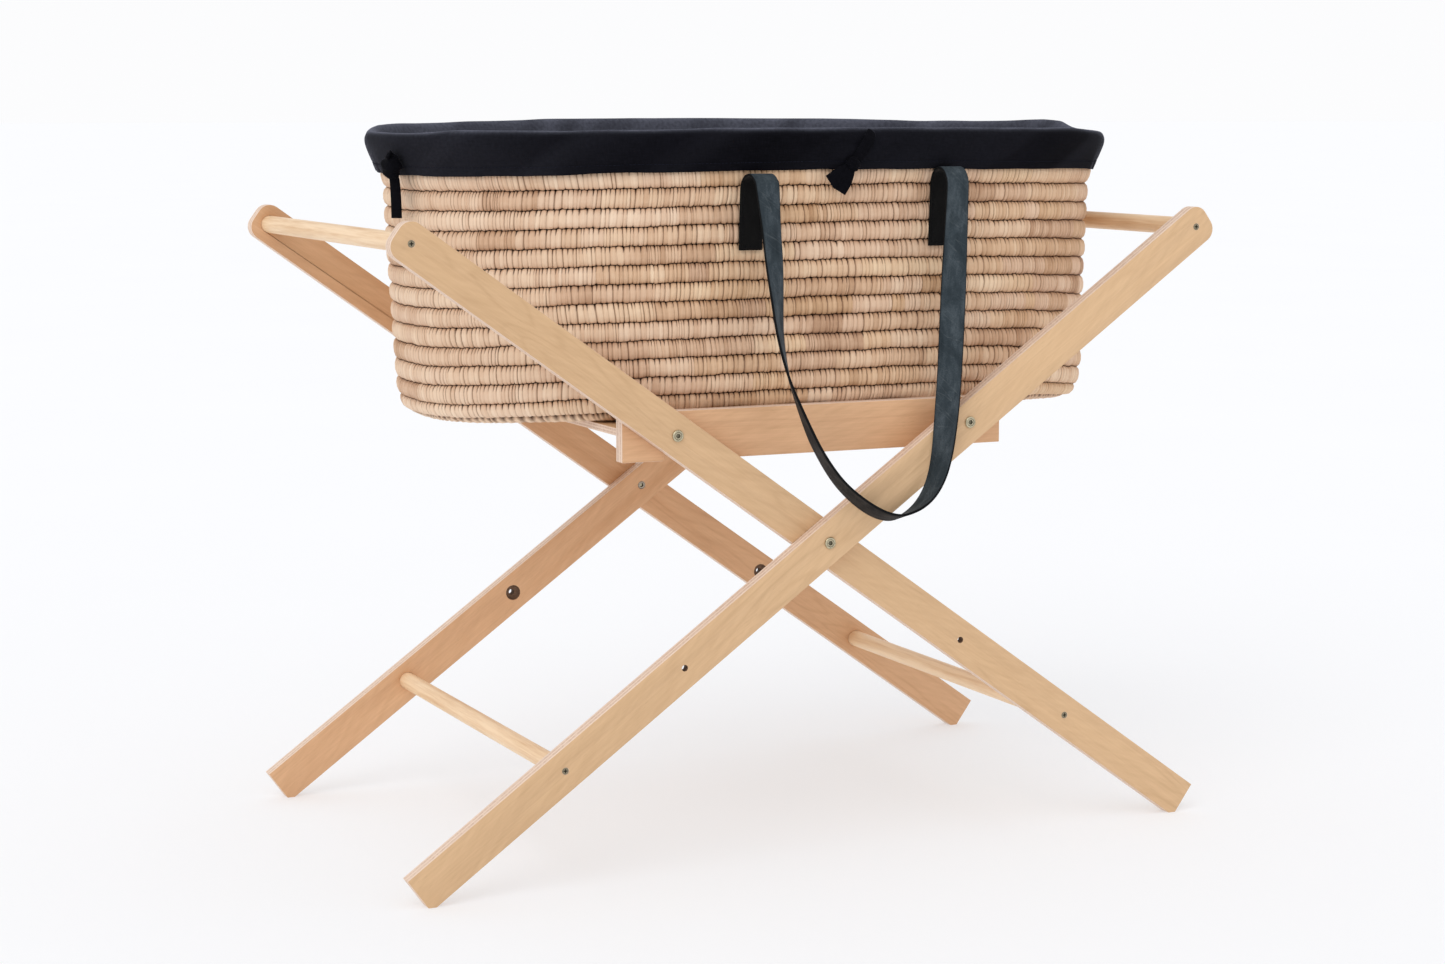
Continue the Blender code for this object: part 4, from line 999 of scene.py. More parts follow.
def ribbon(name, centre, normal, width, thick, mats, corner=0.3, edge_dark=True, cap=True, dish=0.0, wear=None):
    """A flat strap: centre line and face normals, with rounded long edges. Face 0 of mats is the
    side that the normals look out of, 1 the other side, 2 the cut edges."""
    c = np.asarray(centre, float)
    tan = np.gradient(c, axis=0)
    tan /= np.linalg.norm(tan, axis=1, keepdims=True)
    n = np.asarray(normal, float)
    n = n - tan * (n * tan).sum(1, keepdims=True)
    n /= np.linalg.norm(n, axis=1, keepdims=True)
    w = np.cross(tan, n)
    width = np.broadcast_to(np.asarray(width, float), (len(c),))
    thick = np.broadcast_to(np.asarray(thick, float), (len(c),))
    e = corner
    # section: across u, out v, 1 on the rim; the edge is slightly crowned
    section = [(-1.0, 0.0, 1), (-0.985, 1 - e, 1), (-0.955, 0.96, 0.6), (-0.86, 1.0, 0.15), (-0.5, 1.0, 0), (0.0, 1.0, 0), (0.5, 1.0, 0), (0.86, 1.0, 0.15),
               (0.955, 0.96, 0.6), (0.985, 1 - e, 1), (1.0, 0.0, 1), (0.985, -(1 - e), 1), (0.955, -0.96, 0.6), (0.86, -1.0, 0.15), (0.5, -1.0, 0),
               (0.0, -1.0, 0), (-0.5, -1.0, 0), (-0.86, -1.0, 0.15), (-0.955, -0.96, 0.6), (-0.985, -(1 - e), 1)]
    K = len(section)
    verts, rim, uv = [], [], []
    s = np.concatenate([[0], np.cumsum(np.linalg.norm(np.diff(c, axis=0), axis=1))])
    for i in range(len(c)):
        ww = width[i] / 2
        if wear is not None:
            ww = ww + wear[i]
        for u, v, r in section:
            lift = dish * (u * u - 0.33)
            verts.append(c[i] + w[i] * ww * u + n[i] * (thick[i] / 2 * v + lift))
            rim.append(r)
            uv.append((ww * u + (0 if v >= 0 else 0.2), s[i]))
    faces, index = [], []
    for i in range(len(c) - 1):
        for j in range(K):
            j2 = (j + 1) % K
            faces.append((i * K + j, (i + 1) * K + j, (i + 1) * K + j2, i * K + j2))
            mid = (section[j][1] + section[j2][1]) / 2
            index.append(0 if mid > 0.9 else 1 if mid < -0.9 else 2)
    if cap:
        faces.append(tuple(range(K)))
        faces.append(tuple(reversed([(len(c) - 1) * K + j for j in range(K)])))
        index += [2, 2]
    ob = new_object(name, verts, faces, mats, index=[min(x, len(mats) - 1) for x in index])
    point_attribute(ob, "rim", np.array(rim) * (1.0 if edge_dark else 0.0))
    point_uv(ob, uv)
    return ob, w


def wall_y(x, z, out=0.0):
    p = sorted(WALL, key=lambda q: q[1])
    b = float(np.interp(z, [q[1] for q in p], [q[0] for q in p])) + out
    a = b + float(length_over_width(z))
    return b * (1 - min(1.0, abs((x - BASKET_X) / a)) ** BASKET_N) ** (1 / BASKET_N)


def strap_path(face):
    """One strap from sewn end to sewn end: points and the way its nubuck side looks."""
    tops = (0.6882, 0.6925)   # where each sewn end leaves the wall
    rows = []

    def tab(x, top, up):
        zs = np.linspace(TAB_Z0, top, 8)
        out = []
        for z in zs:
            near = max(wall_y(x - STRAP_W / 2, z), wall_y(x + STRAP_W / 2, z), wall_y(x, z))
            out.append((x, near + 0.0006 + STRAP_T / 2, z, 0, -1, 0))   # nubuck towards the wall
        return out if up else out[::-1]

    def bend(x0, x1, y0, y1, top, up):
        out = []
        for q in range(1, 10):
            a = math.pi * q / 10
            y = (y0 + y1) / 2 - (y1 - y0) / 2 * math.cos(a)
            z = top + (y1 - y0) / 2 * math.sin(a) * 1.02
            x = x0 + (x1 - x0) * (1 - math.cos(a)) / 2
            out.append((x, y, z, 0, -math.cos(a), math.sin(a)))
        return out if up else [(x0 + x1 - r[0], *r[1:]) for r in out][::-1]

    left = tab(TAB_X[0], tops[0], True)
    right = tab(TAB_X[1], tops[1], False)
    rows += left
    rows += bend(TAB_X[0], LOOP[0][0], left[-1][1], 0.2585, tops[0], True)
    inner = Vector((0.04, 0, 0.55))
    low = min(r[2] for r in LOOP)
    lower = lambda x, z: (x - 0.0030 * max(0.0, min(1.0, (0.60 - z) / 0.10)) * max(0.0, min(1.0, (0.05 - x) / 0.05)), z - 0.0036 * max(0.0, min(1.0, (0.60 - z) / (0.60 - low))))
    loop = [(lower(x, z)[0], y, lower(x, z)[1], turn) for x, y, z, turn in LOOP]
    pts = [Vector((x, y, z)) for x, y, z, _ in loop]
    for i, (x, y, z, turn) in enumerate(loop):
        if (i == 0 and z > tops[0]) or (i == len(LOOP) - 1 and z > tops[1]):
            continue
        tan = pts[min(i + 1, len(pts) - 1)] - pts[max(i - 1, 0)]
        inside = Vector((0, 1, 0)).cross(tan)
        if inside.dot(Vector((inner.x, 0, inner.z)) - Vector((x, 0, z))) < 0:
            inside = -inside
        inside.normalize()
        a = turn * math.pi / 2
        nrm = Vector((0, 1, 0)) * math.cos(a) + inside * math.sin(a)
        rows.append((x, y, z, nrm.x, nrm.y, nrm.z))
    rb = bend(LOOP[-1][0], TAB_X[1], 0.2585, right[0][1], tops[1], True)
    # the right bend runs from the hanging side back to the wall
    rb = []
    for q in range(1, 10):
        a = math.pi * q / 10
        y0, y1 = right[0][1], 0.2585
        y = (y0 + y1) / 2 + (y1 - y0) / 2 * math.cos(a)
        z = tops[1] + (y1 - y0) / 2 * math.sin(a) * 1.02
        rb.append((LOOP[-1][0] + (TAB_X[1] - LOOP[-1][0]) * (1 - math.cos(a)) / 2, y, z, 0, math.cos(a), math.sin(a)))
    rows += rb
    rows += right
    p = np.array(rows)
    p[:, 1] *= face
    p[:, 4] *= face
    return p


def make_handle(face, where, leather, flesh, edge, thread):
    path, s = resample(strap_path(face), 0.0030)
    c, n = path[:, :3], path[:, 3:]
    # hand-cut edges wander a little
    wear = 0.00022 * smooth_noise(s, 0.045, 71, 64)
    ob, w = ribbon(f"{where}_handle_leather", c, n, STRAP_W, STRAP_T * 0.86, [leather, flesh, edge], corner=0.35, wear=wear)
    bm = bmesh.new()
    bm.from_mesh(ob.data)
    bmesh.ops.recalc_face_normals(bm, faces=bm.faces)
    bm.to_mesh(ob.data)
    bm.free()
    rim = np.zeros(len(ob.data.vertices), np.float32)
    ob.data.attributes["rim"].data.foreach_get("value", rim)
    co = np.zeros(len(ob.data.vertices) * 3, np.float32)
    ob.data.vertices.foreach_get("co", co)
    co = co.reshape(-1, 3)
    # painted shade: the sewn ends lying on the wall and the wall side of the bends are darkened through the rim
    # attribute
    shade = np.clip((0.2365 - np.abs(co[:, 1])) / 0.005, 0, 1) * (co[:, 2] > 0.60)
    ob.data.attributes["rim"].data.foreach_set("value", np.maximum(rim, 1.27 * shade).astype(np.float32))
    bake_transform(ob)
    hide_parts(f"{where}_handle_strap", f"{where}_handle_end_left", f"{where}_handle_end_right")
    # two rows of stitches down each sewn end, joined across the bottom
    tops = (0.6882, 0.6925)
    for x, top, side in ((TAB_X[0], tops[0], "left"), (TAB_X[1], tops[1], "right")):
        pts = []
        for xx, z0, z1 in ((x - 0.0095, top - 0.004, TAB_Z0 + 0.0035), (x + 0.0095, TAB_Z0 + 0.0035, top - 0.004)):
            for z in np.linspace(z0, z1, 12):
                near = max(wall_y(x - STRAP_W / 2, z), wall_y(x + STRAP_W / 2, z), wall_y(x, z))
                pts.append((xx, face * (near + 0.0006 + STRAP_T), z))
        nn = np.tile((0, face, 0), (len(pts), 1))
        st = run_of_stitches(f"{where}_handle_stitches_{side}", pts, nn, 0.0034, 0.0014, 0.00036, thread)
        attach(st, "basket")
    return ob


# ------------------------------------------------------------------ the ties
def lump(name, centre, axis, out, size, material, turns=3.2, seed=0):
    """A tight knot: an egg with the ribbon's wraps standing up on it."""
    axis, out = Vector(axis).normalized(), Vector(out).normalized()
    out = (out - axis * out.dot(axis)).normalized()
    side = axis.cross(out)
    R, C = 22, 32
    verts, uv = [], []
    for i in range(R):
        a = math.pi * i / (R - 1)
        for j in range(C):
            b = 2 * math.pi * j / C
            wrap = 0.5 + 0.5 * math.cos(turns * 2 * (a * 1.0 + 0.55 * math.sin(b + seed)) + 1.3 * seed)
            r = 1 + 0.22 * (wrap - 0.5) + 0.07 * math.sin(3 * b + 2 * a + seed)
            x = math.sin(a) * math.cos(b) * size[0] * r
            y = math.sin(a) * math.sin(b) * size[1] * r
            z = math.cos(a) * size[2] * (1 + 0.10 * (wrap - 0.5))
            p = Vector(centre) + side * x + out * y + axis * z
            verts.append(p)
            uv.append((b * 0.005, a * 0.006))
    ob = new_object(name, verts, grid(R, C, closed=True, flip=True), [material])
    point_uv(ob, uv)
    return ob


def make_ties(cloth):
    centre = Vector((BASKET_X, 0, 0))
    made = []
    for where, angle in (("front", 0.0), ("rear", math.pi)):
        turn = Matrix.Rotation(angle, 3, "Z")

        def spot(x, z, off):
            return Vector((x, -wall_y(x, z, 0.0009 + LINER_T + GAP) - off, z))

        def place(v):
            return turn @ (Vector(v) - centre) + centre

        knot = spot(0.0352, 0.7150, 0.0050)
        # ribbon from the crest down to the knot
        top = [spot(0.0560, 0.7480, 0.0016), spot(0.0540, 0.7440, 0.0022), spot(0.0510, 0.7385, 0.0026), spot(0.0465, 0.7310, 0.0032), spot(0.0415, 0.7230, 0.0042), spot(0.0362, 0.7165, 0.0048)]
        c, s = resample(np.array([place(v)[:] for v in top]), 0.0012)
        nrm = np.tile(np.array((turn @ Vector((0.25, -1, 0.35)))[:]), (len(c), 1))
        width = np.interp(s / s[-1], [0, 0.15, 0.55, 0.85, 1.0], [0.0090, 0.0128, 0.0132, 0.0105, 0.0080])
        a, _ = ribbon(f"liner_tie_{where}_band", c, nrm, width, 0.0019, [cloth], corner=0.5, edge_dark=False, dish=-0.0007)
        k = lump(f"liner_tie_{where}_knot", place(knot), turn @ Vector((0.55, 0.1, 1.0)), turn @ Vector((0, -1, -0.2)), (0.0082, 0.0062, 0.0074), cloth, seed=0.6)
        tails = []
        for q, (dx, dz, lean, wid) in enumerate(((-0.0262, -0.0185, 0.0, 0.0160), (-0.0170, -0.0275, 0.7, 0.0150))):
            off = 0.0022 + 0.0026 * q
            pts = [knot + Vector((0, 0.0010, 0)), knot + Vector((dx * 0.33, -0.0004 - 0.0012 * q, dz * 0.33)),
                   knot + Vector((dx * 0.66, -0.0006 - off * 0.35, dz * 0.66)), knot + Vector((dx, 0.0012 - off * 0.5, dz))]
            c, s = resample(np.array([place(v)[:] for v in pts]), 0.0012)
            nrm = np.tile(np.array((turn @ Vector((0.10 - 0.25 * q, -1, 0.15)))[:]), (len(c), 1))
            width = np.interp(s / s[-1], [0, 0.25, 0.6, 1.0], [0.0070, 0.0105, wid, wid * 1.03])
            tails.append(ribbon(f"liner_tie_{where}_tail_{q + 1}", c, nrm, width, 0.0019, [cloth], corner=0.5, edge_dark=False, dish=0.0006)[0])
        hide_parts(f"liner_tie_{where}")
        made += [a, k, *tails]
    for where, angle in (("left", 0.0), ("right", math.pi)):
        turn = Matrix.Rotation(angle, 3, "Z")

        def place(v):
            return turn @ (Vector(v) - centre) + centre

        out = Vector((-0.986, -0.168, 0))
        base = Vector((-0.3912, -0.0475, 0.7130))
        k = lump(f"liner_tie_{where}_knot", place(base), turn @ Vector((0.30, -0.7, 0.85)), turn @ out, (0.0132, 0.0088, 0.0122), cloth, turns=3.4, seed=2.1)
        side = Vector((0, 0, 1)).cross(out)
        pts = [base + Vector((0, 0, -0.004)) + out * -0.001, base + Vector((0, 0, -0.014)) + out * -0.0030,
               base + Vector((0, 0, -0.030)) + out * -0.0042, base + Vector((0, 0, -0.0525)) + out * -0.0048]
        c, s = resample(np.array([place(v)[:] for v in pts]), 0.0015)
        nrm = np.tile(np.array((turn @ (out + side * 0.35))[:]), (len(c), 1))
        width = np.interp(s / s[-1], [0, 0.2, 0.5, 1.0], [0.0100, 0.0128, 0.0134, 0.0136])
        tail, _ = ribbon(f"liner_tie_{where}_tail", c, nrm, width, 0.0020, [cloth], corner=0.5, edge_dark=False, dish=-0.0007)
        pts = [base + Vector((0, 0, 0.002)), base + Vector((0, 0, 0.008)) + out * 0.002 + side * 0.003, base + Vector((0, 0, 0.0125)) + out * 0.006 + side * 0.007]
        c, s = resample(np.array([place(v)[:] for v in pts]), 0.0012)
        nrm = np.tile(np.array((turn @ (out * 0.8 + Vector((0, 0, 0.6))))[:]), (len(c), 1))
        stub, _ = ribbon(f"liner_tie_{where}_end", c, nrm, 0.0100, 0.0019, [cloth], corner=0.5, edge_dark=False, dish=0.0008)
        # a loop of tape from the crest into the knot
        pts = [base + Vector((0, 0, 0.003)) + out * -0.001, base + out * 0.0010 + Vector((0, 0, 0.008)), base + out * 0.0012 + Vector((0, 0, 0.014))]
        c, s = resample(np.array([place(v)[:] for v in pts]), 0.0012)
        nrm = np.tile(np.array((turn @ out)[:]), (len(c), 1))
        loop, _ = ribbon(f"liner_tie_{where}_band", c, nrm, np.interp(s / s[-1], [0, 1], [0.009, 0.011]), 0.0018, [cloth], corner=0.5, edge_dark=False)
        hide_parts(f"liner_tie_{where}")
        made += [k, tail, stub, loop]
    for o in made:
        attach(o, "basket")
    return made


# ------------------------------------------------------------------ the mattress
def make_mattress(material, piping):
    base = BASKET_BOTTOM + BASKET_WALL + 2 * GAP + LINER_T + 0.0008

    def ring(b, z, count=96):
        t = 2 * np.pi * np.arange(count) / count
        c, s = np.cos(t), np.sin(t)
        return np.stack([BASKET_X + (b + 0.172) * np.sign(c) * np.abs(c) ** (2 / BASKET_N),
                         b * np.sign(s) * np.abs(s) ** (2 / BASKET_N), np.full(count, z)], 1)

    prof = [(0.1500, base + 0.0012), (0.1660, base + 0.0028), (0.1735, base + 0.0075), (0.1755, base + 0.0150), (0.1755, base + 0.0205),
            (0.1730, base + 0.0262), (0.1640, base + 0.0300), (0.1500, base + 0.0318)]
    rings = [ring(b, z) for b, z in prof]
    # inner rings fill the two faces in even steps
    low = [ring(0.150 * f, base + 0.0012) * np.array([1, 1, 1]) for f in (0.12, 0.40, 0.70)]
    high = [ring(0.150 * f, base + 0.0322) for f in (0.70, 0.40, 0.12)]
    P = np.concatenate(low + rings + high)
    R = len(low) + len(rings) + len(high)
    f = [tuple(map(int, q)) for q in grid(R, 96, closed=True)]
    f.append(tuple(range(96)))
    f.append(tuple(reversed(range((R - 1) * 96, R * 96))))
    ob = new_object("mattress_pad", P, f, [material])
    bm = bmesh.new()
    bm.from_mesh(ob.data)
    bmesh.ops.recalc_face_normals(bm, faces=bm.faces)
    bm.to_mesh(ob.data)
    bm.free()
    bpy.context.view_layer.objects.active = ob
    ob.select_set(True)
    re = ob.modifiers.new("remesh", "REMESH")
    re.mode = "VOXEL"
    re.voxel_size = 0.0055
    bpy.ops.object.modifier_apply(modifier=re.name)
    rest = np.array([v.co for v in ob.data.vertices])
    cl = ob.modifiers.new("fill", "CLOTH")
    cl.settings.use_pressure = True
    cl.settings.uniform_pressure_force = 3.0
    cl.settings.mass = 0.3
    cl.settings.quality = 5
    cl.settings.effector_weights.gravity = 0.0
    cl.settings.tension_stiffness = 18
    cl.settings.compression_stiffness = 18
    cl.settings.bending_stiffness = 2.0
    cl.point_cache.frame_start, cl.point_cache.frame_end = 1, 14
    sc = bpy.context.scene
    for fr in range(1, 15):
        sc.frame_set(fr)
    dg = bpy.context.evaluated_depsgraph_get()
    ev = ob.evaluated_get(dg).to_mesh()
    sim = np.array([v.co for v in ev.vertices])
    ob.evaluated_get(dg).to_mesh_clear()
    ob.modifiers.remove(cl)
    sc.frame_set(1)
    move = sim - rest
    size = np.linalg.norm(move, axis=1, keepdims=True)
    move *= np.minimum(1.0, 0.0034 / np.maximum(size, 1e-9))
    rest = rest + move
    # held inside the tray of the liner, and flat where it lies on it
    rest[:, 2] = np.maximum(rest[:, 2], base + 0.0004)
    x, y, z = rest.T
    # quilting: crossing diagonal channels on the top and over its rounded edge, with soft squares between
    u, v = (x - BASKET_X + y) / 0.062, (x - BASKET_X - y) / 0.062
    near = np.minimum(np.abs(u - np.round(u)), np.abs(v - np.round(v))) * 0.062
    top = np.clip((z - base - 0.024) / 0.006, 0, 1)
    rest[:, 2] += top * (-0.0022 * np.exp(-(near / 0.0034) ** 2))
    rest[:, 2] = np.minimum(rest[:, 2], base + 0.0352)
    ob.data.vertices.foreach_set("co", rest.astype(np.float32).ravel())
    ob.data.polygons.foreach_set("use_smooth", np.ones(len(ob.data.polygons), bool))
    ob.data.update()
    sub = ob.modifiers.new("soft", "SUBSURF")
    sub.levels = sub.render_levels = 1
    ob.select_set(False)
    me = ob.data
    co = rest
    layer = me.uv_layers.new(name="UVMap") if not me.uv_layers else me.uv_layers[0]
    idx = np.zeros(len(me.loops), np.int32)
    me.loops.foreach_get("vertex_index", idx)
    layer.data.foreach_set("uv", (co[idx][:, :2] + co[idx][:, 2:3] * 0.7).astype(np.float32).ravel())
    # piping round the upper and lower edges
    made = []
    for name, b, z in (("mattress_piping_top", 0.1745, base + 0.0275), ("mattress_piping_low", 0.1745, base + 0.0068)):
        t = 2 * np.pi * np.arange(300) / 300
        path = ring(b, z, 300)
        tan = np.roll(path, -1, 0) - np.roll(path, 1, 0)
        tan /= np.linalg.norm(tan, axis=1, keepdims=True)
        outv = np.cross(tan, [0, 0, 1])
        verts = []
        for j in range(8):
            a = 2 * math.pi * j / 8
            verts.append(path + outv * 0.0019 * math.cos(a) + np.array([0, 0, 1]) * 0.0019 * math.sin(a))
        V = np.stack(verts, 1).reshape(-1, 3)
        fcs = []
        for i in range(300):
            for j in range(8):
                fcs.append((i * 8 + j, i * 8 + (j + 1) % 8, ((i + 1) % 300) * 8 + (j + 1) % 8, ((i + 1) % 300) * 8 + j))
        o = new_object(name, V, fcs, [piping])
        point_uv(o, V[:, :2] + V[:, 2:3])
        made.append(o)
    for o in [ob, *made]:
        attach(o, "basket")
    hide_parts("mattress")
    return ob


# ------------------------------------------------------------------ fasteners
def turned_about_y(name, x, z, profile, mats, count=48):
    """Turned about an axis along Y. profile rows are (radius or shape function, y, material)."""
    verts, faces, index = [], [], []
    for r, y, _ in profile:
        for k in range(count):
            a = 2 * math.pi * (k + 0.5) / count
            rr = r(a) if callable(r) else r
            verts.append((x + rr * math.cos(a), y, z + rr * math.sin(a)))
    for i in range(len(profile) - 1):
        for k in range(count):
            k2 = (k + 1) % count
            faces.append((i * count + k, i * count + k2, (i + 1) * count + k2, (i + 1) * count + k))
            index.append(profile[i + 1][2])
    faces.append(tuple(reversed(range(count))))
    index.append(profile[0][2])
    faces.append(tuple(range((len(profile) - 1) * count, len(profile) * count)))
    index.append(profile[-1][2])
    ob = new_object(name, verts, faces, mats, index=index)
    bm = bmesh.new()
    bm.from_mesh(ob.data)
    bmesh.ops.recalc_face_normals(bm, faces=bm.faces)
    bm.to_mesh(ob.data)
    bm.free()
    ob.data.polygons.foreach_set("use_smooth", np.ones(len(ob.data.polygons), bool))
    ob.data.set_sharp_from_angle(angle=math.radians(32))
    return ob


def hexagon(across):
    def r(a):
        b = (a % (math.pi / 3)) - math.pi / 6
        return across / 2 / math.cos(b)
    return r


def cross(arm, half):
    def r(a):
        c, s = abs(math.cos(a)), abs(math.sin(a))
        one = min(arm / max(c, 1e-6), half / max(s, 1e-6))
        two = min(arm / max(s, 1e-6), half / max(c, 1e-6))
        return max(one, two)
    return r


def on_plank(side, reach):
    return side * reach * math.cos(THETA), PIVOT_Z + reach * math.sin(THETA)


def make_bolt(node, body, side, reach, face, outer, length, mats):
    x, z = on_plank(side, reach)
    y_out = face * (OUTER_Y if outer else INNER_Y)
    y = lambda d: y_out + face * d
    hexa = hexagon(0.0046)
    profile = [
        (0.0024, y(-length), 0), (0.0030, y(-length + 0.0006), 0), (0.0030, y(0.00019), 0),
        (0.0060, y(0.0002), 0), (0.0061, y(0.0006), 0), (0.0059, y(0.0013), 0), (0.0054, y(0.00172), 0), (0.0047, y(0.00180), 0),
        (0.0041, y(0.00176), 0), (0.0038, y(0.0014), 2), (0.0034, y(0.00125), 2), (hexa, y(0.00120), 0), (hexa, y(-0.0008), 1), (0.0004, y(-0.0012), 1),
    ]
    ob = turned_about_y("bolt_" + node, x, z, profile, mats)
    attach(ob, body)
    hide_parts(node)


def make_screw(node, body, side, reach, face, outer, mats):
    x, z = on_plank(side, reach)
    y_out = face * (OUTER_Y if outer else INNER_Y)
    y = lambda d: y_out + face * d
    cr = cross(0.0021, 0.00055)
    profile = [
        (0.0003, y(-0.0400), 0), (0.0016, y(-0.0360), 0), (0.0016, y(-0.0026), 0), (0.0033, y(-0.0008), 0), (0.0034, y(-0.0004), 0), (0.0031, y(-0.0002), 0),
        (0.0027, y(-0.00012), 0), (cr, y(-0.00016), 0), (cr, y(-0.0016), 1), (0.0002, y(-0.0018), 1),
    ]
    ob = turned_about_y("screw_" + node, x, z, profile, mats, count=64)
    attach(ob, body)
    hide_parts(node)


# ------------------------------------------------------------------ putting it together
make_camera()
make_stage()

FACE_L, FACE_D = (0.760, 0.510, 0.295), (0.550, 0.345, 0.182)
# the rear planks and the platform rails get a darker, more orange copy of the same wood: painted shade, as they stand
# behind and under the basket
SHADED_L, SHADED_D = (0.765, 0.465, 0.265), (0.530, 0.290, 0.145)
planks = {
    "leg_front_inner": (THETA * -1, -INNER_Y, FACE_L, FACE_D, 1.3),
    "leg_front_outer": (THETA, -OUTER_Y, FACE_L, FACE_D, 4.1),
    "leg_rear_inner": (THETA, INNER_Y - PLANK_T, SHADED_L, SHADED_D, 7.7),
    "leg_rear_outer": (THETA * -1, OUTER_Y - PLANK_T, SHADED_L, SHADED_D, 9.2),
}
def bored_material():
    w = Mat("bored_hole_shade", rough=0.75, specular=0.2)
    grain = w.noise(w.mapped(w.coords(), scale=(260.0, 700.0, 700.0)), detail=3.0, rough=0.6)
    # painted shade: the walls of the bored holes are dark brown, far darker than the cut edges of the same board
    w.colour(w.ramp(grain, [(0.30, (0.125, 0.072, 0.046)), (0.70, (0.235, 0.145, 0.095))]))
    w.normal(w.bump(grain, 0.25, 0.0003))
    return w.m


def plank_part(turn, y_low):
    """Face, cut edge or the inside of a bored hole, by where a facet of the plank is."""
    s = 1.0 if turn > 0 else -1.0
    holes = [(s * q * 0.1996 * math.cos(THETA), PIVOT_Z + q * 0.1996 * math.sin(THETA)) for q in (1, -1)]

    def pick(n, c):
        deep = y_low + 0.0004 < c.y < y_low + PLANK_T - 0.0004
        if deep and any(math.hypot(c.x - hx, c.z - hz) < 0.0096 for hx, hz in holes):
            return 2
        return 0 if abs(n.y) > 0.7 else 1
    return pick


bored = bored_material()
for node, (turn, y_low, light, dark, shift) in planks.items():
    face = wood(node + "_face", turn, light, dark, figure=1.0, shift=shift)
    edge = ply_edge(node + "_edge", y_low, turn)
    dress(node, [face, edge, bored], plank_part(turn, y_low), bevel=(0.0007, 2), smooth_angle=30)
rail_face = wood("rail_face", 0.0, SHADED_L, SHADED_D, figure=0.35, fibre=1.25, shift=2.2)
for node, y_low in (("platform_rail_front", -RAIL_Y), ("platform_rail_rear", RAIL_Y - PLANK_T)):
    dress(node, [rail_face, ply_edge(node + "_edge", y_low, 0.0)], lambda n, c: 0 if abs(n.y) > 0.7 else 1, bevel=(0.0007, 2), smooth_angle=30)
slat_face = wood("slat_face", 0.0, FACE_L, FACE_D, figure=0.4, shift=5.6, along_axis="Y")
slat_edge = ply_edge("slat_edge", 0.4546 - 0.0077, 0.0, thick=0.0077, plies=5, axis=2)
for k in range(5):
    dress(f"platform_slat_{k + 1}", [slat_face, slat_edge], lambda n, c: 0 if abs(n.z) > 0.7 else 1, bevel=(0.0008, 2), smooth_angle=30)
pale_dowel = dowel_wood("dowel_pale", (0.90, 0.665, 0.430), (0.70, 0.440, 0.235))
for node in ("upper_crossbar_left", "lower_crossbar_left", "upper_crossbar_right", "lower_crossbar_right"):
    dress(node, [pale_dowel], smooth_angle=30)

brass = metal("antique_brass", (0.56, 0.50, 0.35), 0.27, (0.24, 0.20, 0.13))
# painted shade: a dark ring on the chamfer down into each bolt's socket
ring_metal = metal("socket_lip_painted_shade", (0.22, 0.195, 0.14), 0.30, (0.08, 0.07, 0.05))
steel = metal("nickel_sleeve", (0.62, 0.60, 0.57), 0.26, (0.42, 0.40, 0.36))
recess = painted_shade_for_recesses("recess")
sleeve_metal = metal("worn_sleeve", (0.40, 0.36, 0.30), 0.30, (0.20, 0.17, 0.13))
# painted shade: a dark metal inside each bolt's hex socket
socket = metal("socket_painted_shade", (0.20, 0.18, 0.125), 0.38, (0.07, 0.06, 0.045))
bronze = metal("screw_bronze", (0.30, 0.26, 0.18), 0.34, (0.12, 0.10, 0.07))
for side, frame_name, where_frame in ((-1, "a", "left"), (1, "b", "right")):
    body = "frame_" + frame_name
    for face, where in ((-1, "front"), (1, "rear")):
        outer = (side > 0) == (face < 0)
        make_bolt(f"peg_bolt_{where}_{where_frame}", body, side, 0.1996, face, outer, 0.0210, [brass, socket, ring_metal])
        for reach, level in ((0.5377, "upper"), (-0.3586, "lower")):
            make_screw(f"crossbar_screw_{frame_name}_{level}_{where}", body, side, reach, face, outer, [bronze, recess])
make_bolt("pivot_bolt_front", "frame_a", 1, 0.0, -1, True, 0.0290, [brass, socket, ring_metal])
make_bolt("pivot_bolt_rear", "frame_b", 1, 0.0, 1, True, 0.0290, [brass, socket, ring_metal])
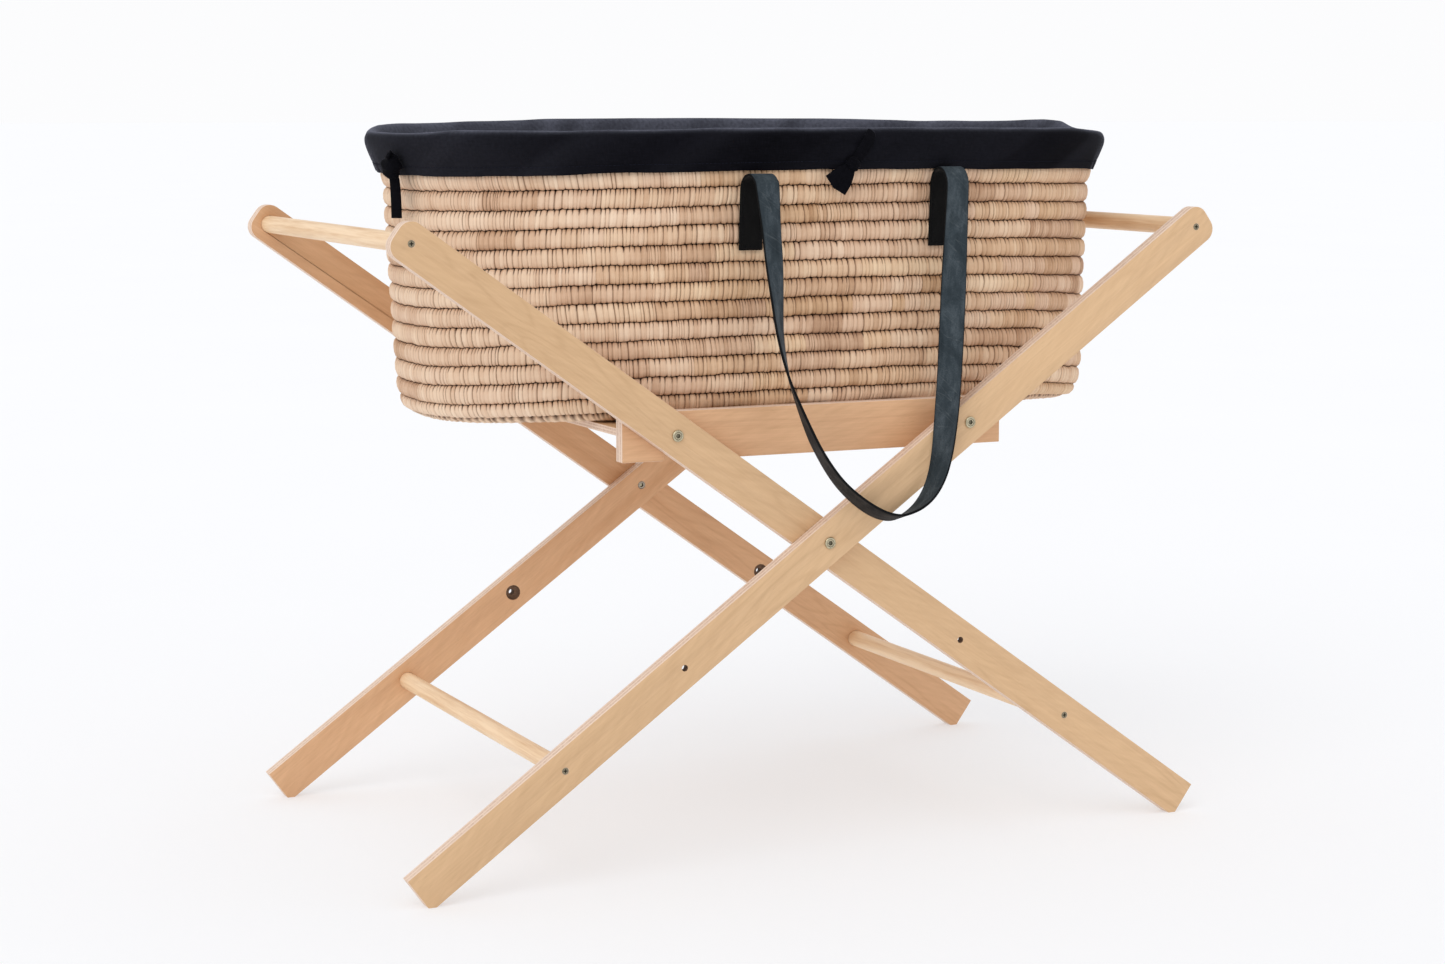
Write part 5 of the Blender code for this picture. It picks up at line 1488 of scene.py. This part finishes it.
for node in ("platform_peg_front_left", "platform_peg_front_right", "platform_peg_rear_left", "platform_peg_rear_right", "pivot_insert_front", "pivot_insert_rear"):
    if not node.startswith("pivot_insert"):
        dress(node, [steel])
        continue
    c = np.array([v.co[:] for v in NODES[node].data.vertices])
    (x0, y0, z0), (x1, y1, z1) = c.min(0), c.max(0)
    R_ = (z1 - z0) / 2
    sleeve = turned_about_y("sleeve_" + node, (x0 + x1) / 2, (z0 + z1) / 2, [
        (0.0004, y0 + 0.0042, 1), (R_ * 0.50, y0 + 0.0042, 1), (R_ * 0.50, y0 + 0.0004, 1), (R_ * 0.58, y0, 0), (R_ * 0.94, y0, 0), (R_, y0 + 0.0003, 0),
        (R_, y1 - 0.0003, 0), (R_ * 0.94, y1, 0), (R_ * 0.58, y1, 0), (R_ * 0.50, y1 - 0.0004, 1), (R_ * 0.50, y1 - 0.0042, 1), (0.0004, y1 - 0.0042, 1)], [sleeve_metal, recess])
    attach(sleeve, NODE_BODY[node])
    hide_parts(node)

palm = palm_material()
make_coils(palm)
navy = cloth_material("navy_cloth", (0.0015, 0.0015, 0.0025), (0.0068, 0.0066, 0.0102), (0.62, 0.66, 0.85), scale=1250.0, sheen=0.30, painted_sheen=(0.140, 0.147, 0.190))
tape = cloth_material("navy_tape", (0.0010, 0.0010, 0.0018), (0.0062, 0.0061, 0.0092), (0.62, 0.66, 0.85), scale=1900.0, sheen=0.16)
thread_navy = cloth_material("navy_thread", (0.006, 0.006, 0.012), (0.020, 0.022, 0.036), (0.5, 0.6, 0.9), scale=2400.0, sheen=0.1)
liner, hem_stitches = make_liner(navy, thread_navy)
ties = make_ties(tape)
quilt = cloth_material("mattress_cotton", (0.66, 0.65, 0.61), (0.82, 0.81, 0.77), (1, 1, 1), scale=1100.0, sheen=0.1, bump=0.25)
piping = cloth_material("mattress_piping", (0.60, 0.59, 0.55), (0.78, 0.77, 0.73), (1, 1, 1), scale=1600.0, sheen=0.1, bump=0.2)
make_mattress(quilt, piping)

leather = nubuck_material("nubuck", (0.014, 0.021, 0.026), (0.034, 0.046, 0.055), (0.080, 0.100, 0.115), (0.15, 0.17, 0.18), sheen=0.06)
flesh = nubuck_material("flesh_side", (0.0070, 0.0066, 0.0066), (0.019, 0.0175, 0.017), (0.042, 0.039, 0.037), (0.06, 0.055, 0.05), grain=1.4, sheen=0.03)
leather_edge = nubuck_material("leather_edge", (0.004, 0.005, 0.006), (0.010, 0.011, 0.013), (0.022, 0.024, 0.027), (0.03, 0.03, 0.03), sheen=0.02)
thread = cloth_material("handle_thread", (0.004, 0.004, 0.005), (0.014, 0.014, 0.016), (0.8, 0.8, 0.9), scale=2600.0, sheen=0.1)
make_handle(-1, "front", leather, flesh, leather_edge, thread)
make_handle(1, "rear", leather, flesh, leather_edge, thread)

bpy.context.view_layer.update()
